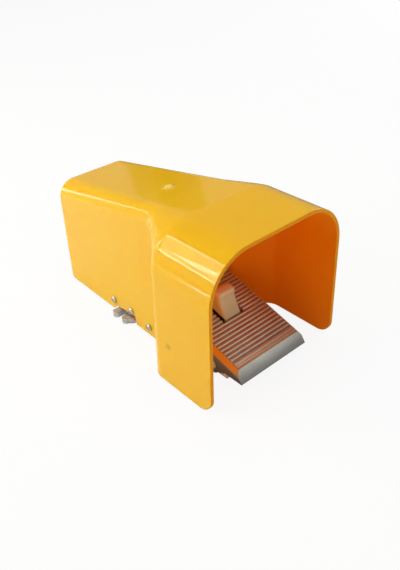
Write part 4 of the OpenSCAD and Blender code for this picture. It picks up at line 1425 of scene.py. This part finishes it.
@dataclass
class Studio:
    """Camera, soft lights, pale floor and white surroundings. Lengths in metres."""

    image: tuple[int, int] = (400, 570)
    focal_px: float = 641.653
    sensor_mm: float = 36.0
    clip_start: float = 0.01
    azimuth: float = -40.286
    elevation: float = 34.721
    roll: float = -2.552
    eye: Point = (-0.2597, -0.3318, 0.3156)
    aim: Point = (0.0, 0.0, 0.05)
    floor_z: float = -0.0004
    floor_size: float = 9.0
    floor_color: Color = (0.86, 0.86, 0.86)
    floor_white: float = 0.9
    floor_mirrored: float = 0.08
    ambient: float = 0.26
    sky_mirrored: float = 0.15
    wall_span: Span = (0.15, 0.0)
    wall_up: Point = (0.2, 0.0, 1.0)
    card_near: tuple[float, float] = (0.09, 0.05)
    card_far: tuple[float, float] = (2.6, 2.6)
    card_z: float = 0.001
    card_shade: float = 0.2

    def camera(self) -> None:
        """Sets the camera at the photograph's angle."""
        az, el, roll = (math.radians(a) for a in (self.azimuth, self.elevation, self.roll))
        right = Vector((math.cos(az), math.sin(az), 0.0))
        back = Vector((math.sin(az) * math.cos(el), -math.cos(az) * math.cos(el), math.sin(el)))
        up = back.cross(right)
        turned_right = right * math.cos(roll) + up * math.sin(roll)
        turned_up = up * math.cos(roll) - right * math.sin(roll)
        lens = bpy.data.cameras.new("photo_camera")
        lens.sensor_fit = "VERTICAL"
        lens.sensor_height = self.sensor_mm
        lens.lens = self.focal_px / self.image[1] * self.sensor_mm
        lens.clip_start = self.clip_start
        view = place_object("photo_camera", lens)
        turn = Matrix((turned_right, turned_up, back)).transposed().to_4x4()
        view.matrix_world = Matrix.Translation(Vector(self.eye)) @ turn
        bpy.context.scene.camera = view

    def world(self) -> None:
        """Dim even light, with white for what the camera and reflections see."""
        world = bpy.data.worlds.new("studio")
        world.use_nodes = True
        bpy.context.scene.world = world
        web = NodeWeb(world.node_tree)
        web.tree.nodes.clear()
        dim = web.add("ShaderNodeBackground", Color=WHITE, Strength=self.ambient)
        white = web.add("ShaderNodeBackground", Color=WHITE, Strength=1.0)
        rays = web.add("ShaderNodeLightPath").outputs
        toward = web.add("ShaderNodeTexCoord").outputs["Generated"]
        level = web.math("DOT_PRODUCT", toward, self.wall_up, VECTOR_MATH)
        top, full = self.wall_span
        wall = web.add("ShaderNodeMapRange", interpolation_type="SMOOTHSTEP", Value=level, From_Min=top,
                       From_Max=full, To_Min=self.sky_mirrored)
        mirrored = web.product(rays["Is Glossy Ray"], wall.outputs["Result"])
        seen = web.math("MAXIMUM", rays["Is Camera Ray"], mirrored)
        seen = web.math("MAXIMUM", seen, rays["Is Transmission Ray"])
        web.add("ShaderNodeOutputWorld", Surface=web.blend(seen, dim, white))

    def floor(self) -> None:
        """Lays a pale floor that the camera sees as white but for the soft shadow."""
        made = bpy.data.materials.new("studio_floor")
        made.use_nodes = True
        web = NodeWeb(made.node_tree)
        web.tree.nodes.clear()
        matt = web.add("ShaderNodeBsdfDiffuse", Color=opaque(self.floor_color))
        white = web.add("ShaderNodeEmission", Color=WHITE, Strength=1.0)
        rays = web.add("ShaderNodeLightPath").outputs
        direct = web.math("MAXIMUM", rays["Is Camera Ray"], rays["Is Transmission Ray"])
        mirrored = web.product(rays["Is Glossy Ray"], self.floor_mirrored)
        seen = web.math("MAXIMUM", web.product(direct, self.floor_white), mirrored)
        web.add("ShaderNodeOutputMaterial", Surface=web.blend(seen, matt, white))
        half = self.floor_size / 2
        self._sheet("studio_floor", self._level((-half, -half), (half, half), self.floor_z), made)

    def cards(self) -> None:
        """Sets three grey cards for the guard's top to mirror, and one on the floor for its far edge."""
        for flag in FLAGS:
            self._sheet(flag.name, flag.corners(), self._grey(flag.name, flag.shade)).visible_camera = False
        name = "flag_floor"
        corners = self._level(self.card_near, self.card_far, self.card_z)
        card = self._sheet(name, corners, self._grey(name, self.card_shade))
        card.visible_camera = card.visible_diffuse = card.visible_shadow = False

    @staticmethod
    def _level(near: Span, far: Span, z: float) -> list[Point]:
        """Corners of a level rectangle between two of them."""
        return [(near[0], near[1], z), (far[0], near[1], z), (far[0], far[1], z), (near[0], far[1], z)]

    @staticmethod
    def _grey(name: str, shade: float) -> bpy.types.Material:
        """Makes a matt grey.

        Args:
            name: Name of the material.
            shade: Its grey.

        Returns:
            The material.
        """
        made = bpy.data.materials.new(name)
        made.use_nodes = True
        matt = made.node_tree.nodes["Principled BSDF"]
        matt.inputs["Base Color"].default_value = (shade, shade, shade, 1.0)
        matt.inputs["Roughness"].default_value = 1.0
        return made

    @staticmethod
    def _sheet(name: str, corners: Sequence[Point], material: bpy.types.Material) -> bpy.types.Object:
        """Makes a flat piece of the stage.

        Args:
            name: Name of the piece.
            corners: Its four corners.
            material: Its material.

        Returns:
            The piece.
        """
        mesh = bpy.data.meshes.new(name)
        mesh.from_pydata(corners, [], [(0, 1, 2, 3)])
        mesh.materials.append(material)
        sheet = place_object(name, mesh)
        return sheet

    def build(self) -> None:
        """Sets up the whole studio."""
        bpy.context.scene.view_settings.view_transform = "Standard"
        self.camera()
        for lamp in LAMPS:
            lamp.hang(self.aim)
        self.world()
        self.floor()
        self.cards()


def main() -> None:
    """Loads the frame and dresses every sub-assembly."""
    logging.basicConfig(level=logging.INFO, format="%(name)s %(message)s")
    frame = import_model()
    bench = Bench(frame)
    bench.paint_all()
    Studio().build()
    GuardHood(bench).build()
    Treadle(bench).build()
    LatchTab(bench).build()
    Castings(bench).build()
    CoilSpring(bench, "pedal_spring", axis=2, wire=1.8, joint="treadle_press", anchor_high=False,
               keep=0.5).build()
    CoilSpring(bench, "spool_spring", axis=1, wire=1.0, joint="spool_slide", anchor_high=True,
               keep=0.74).build()
    PortThreads(bench).build(frame["record"])


if __name__ == "__main__":
    main()
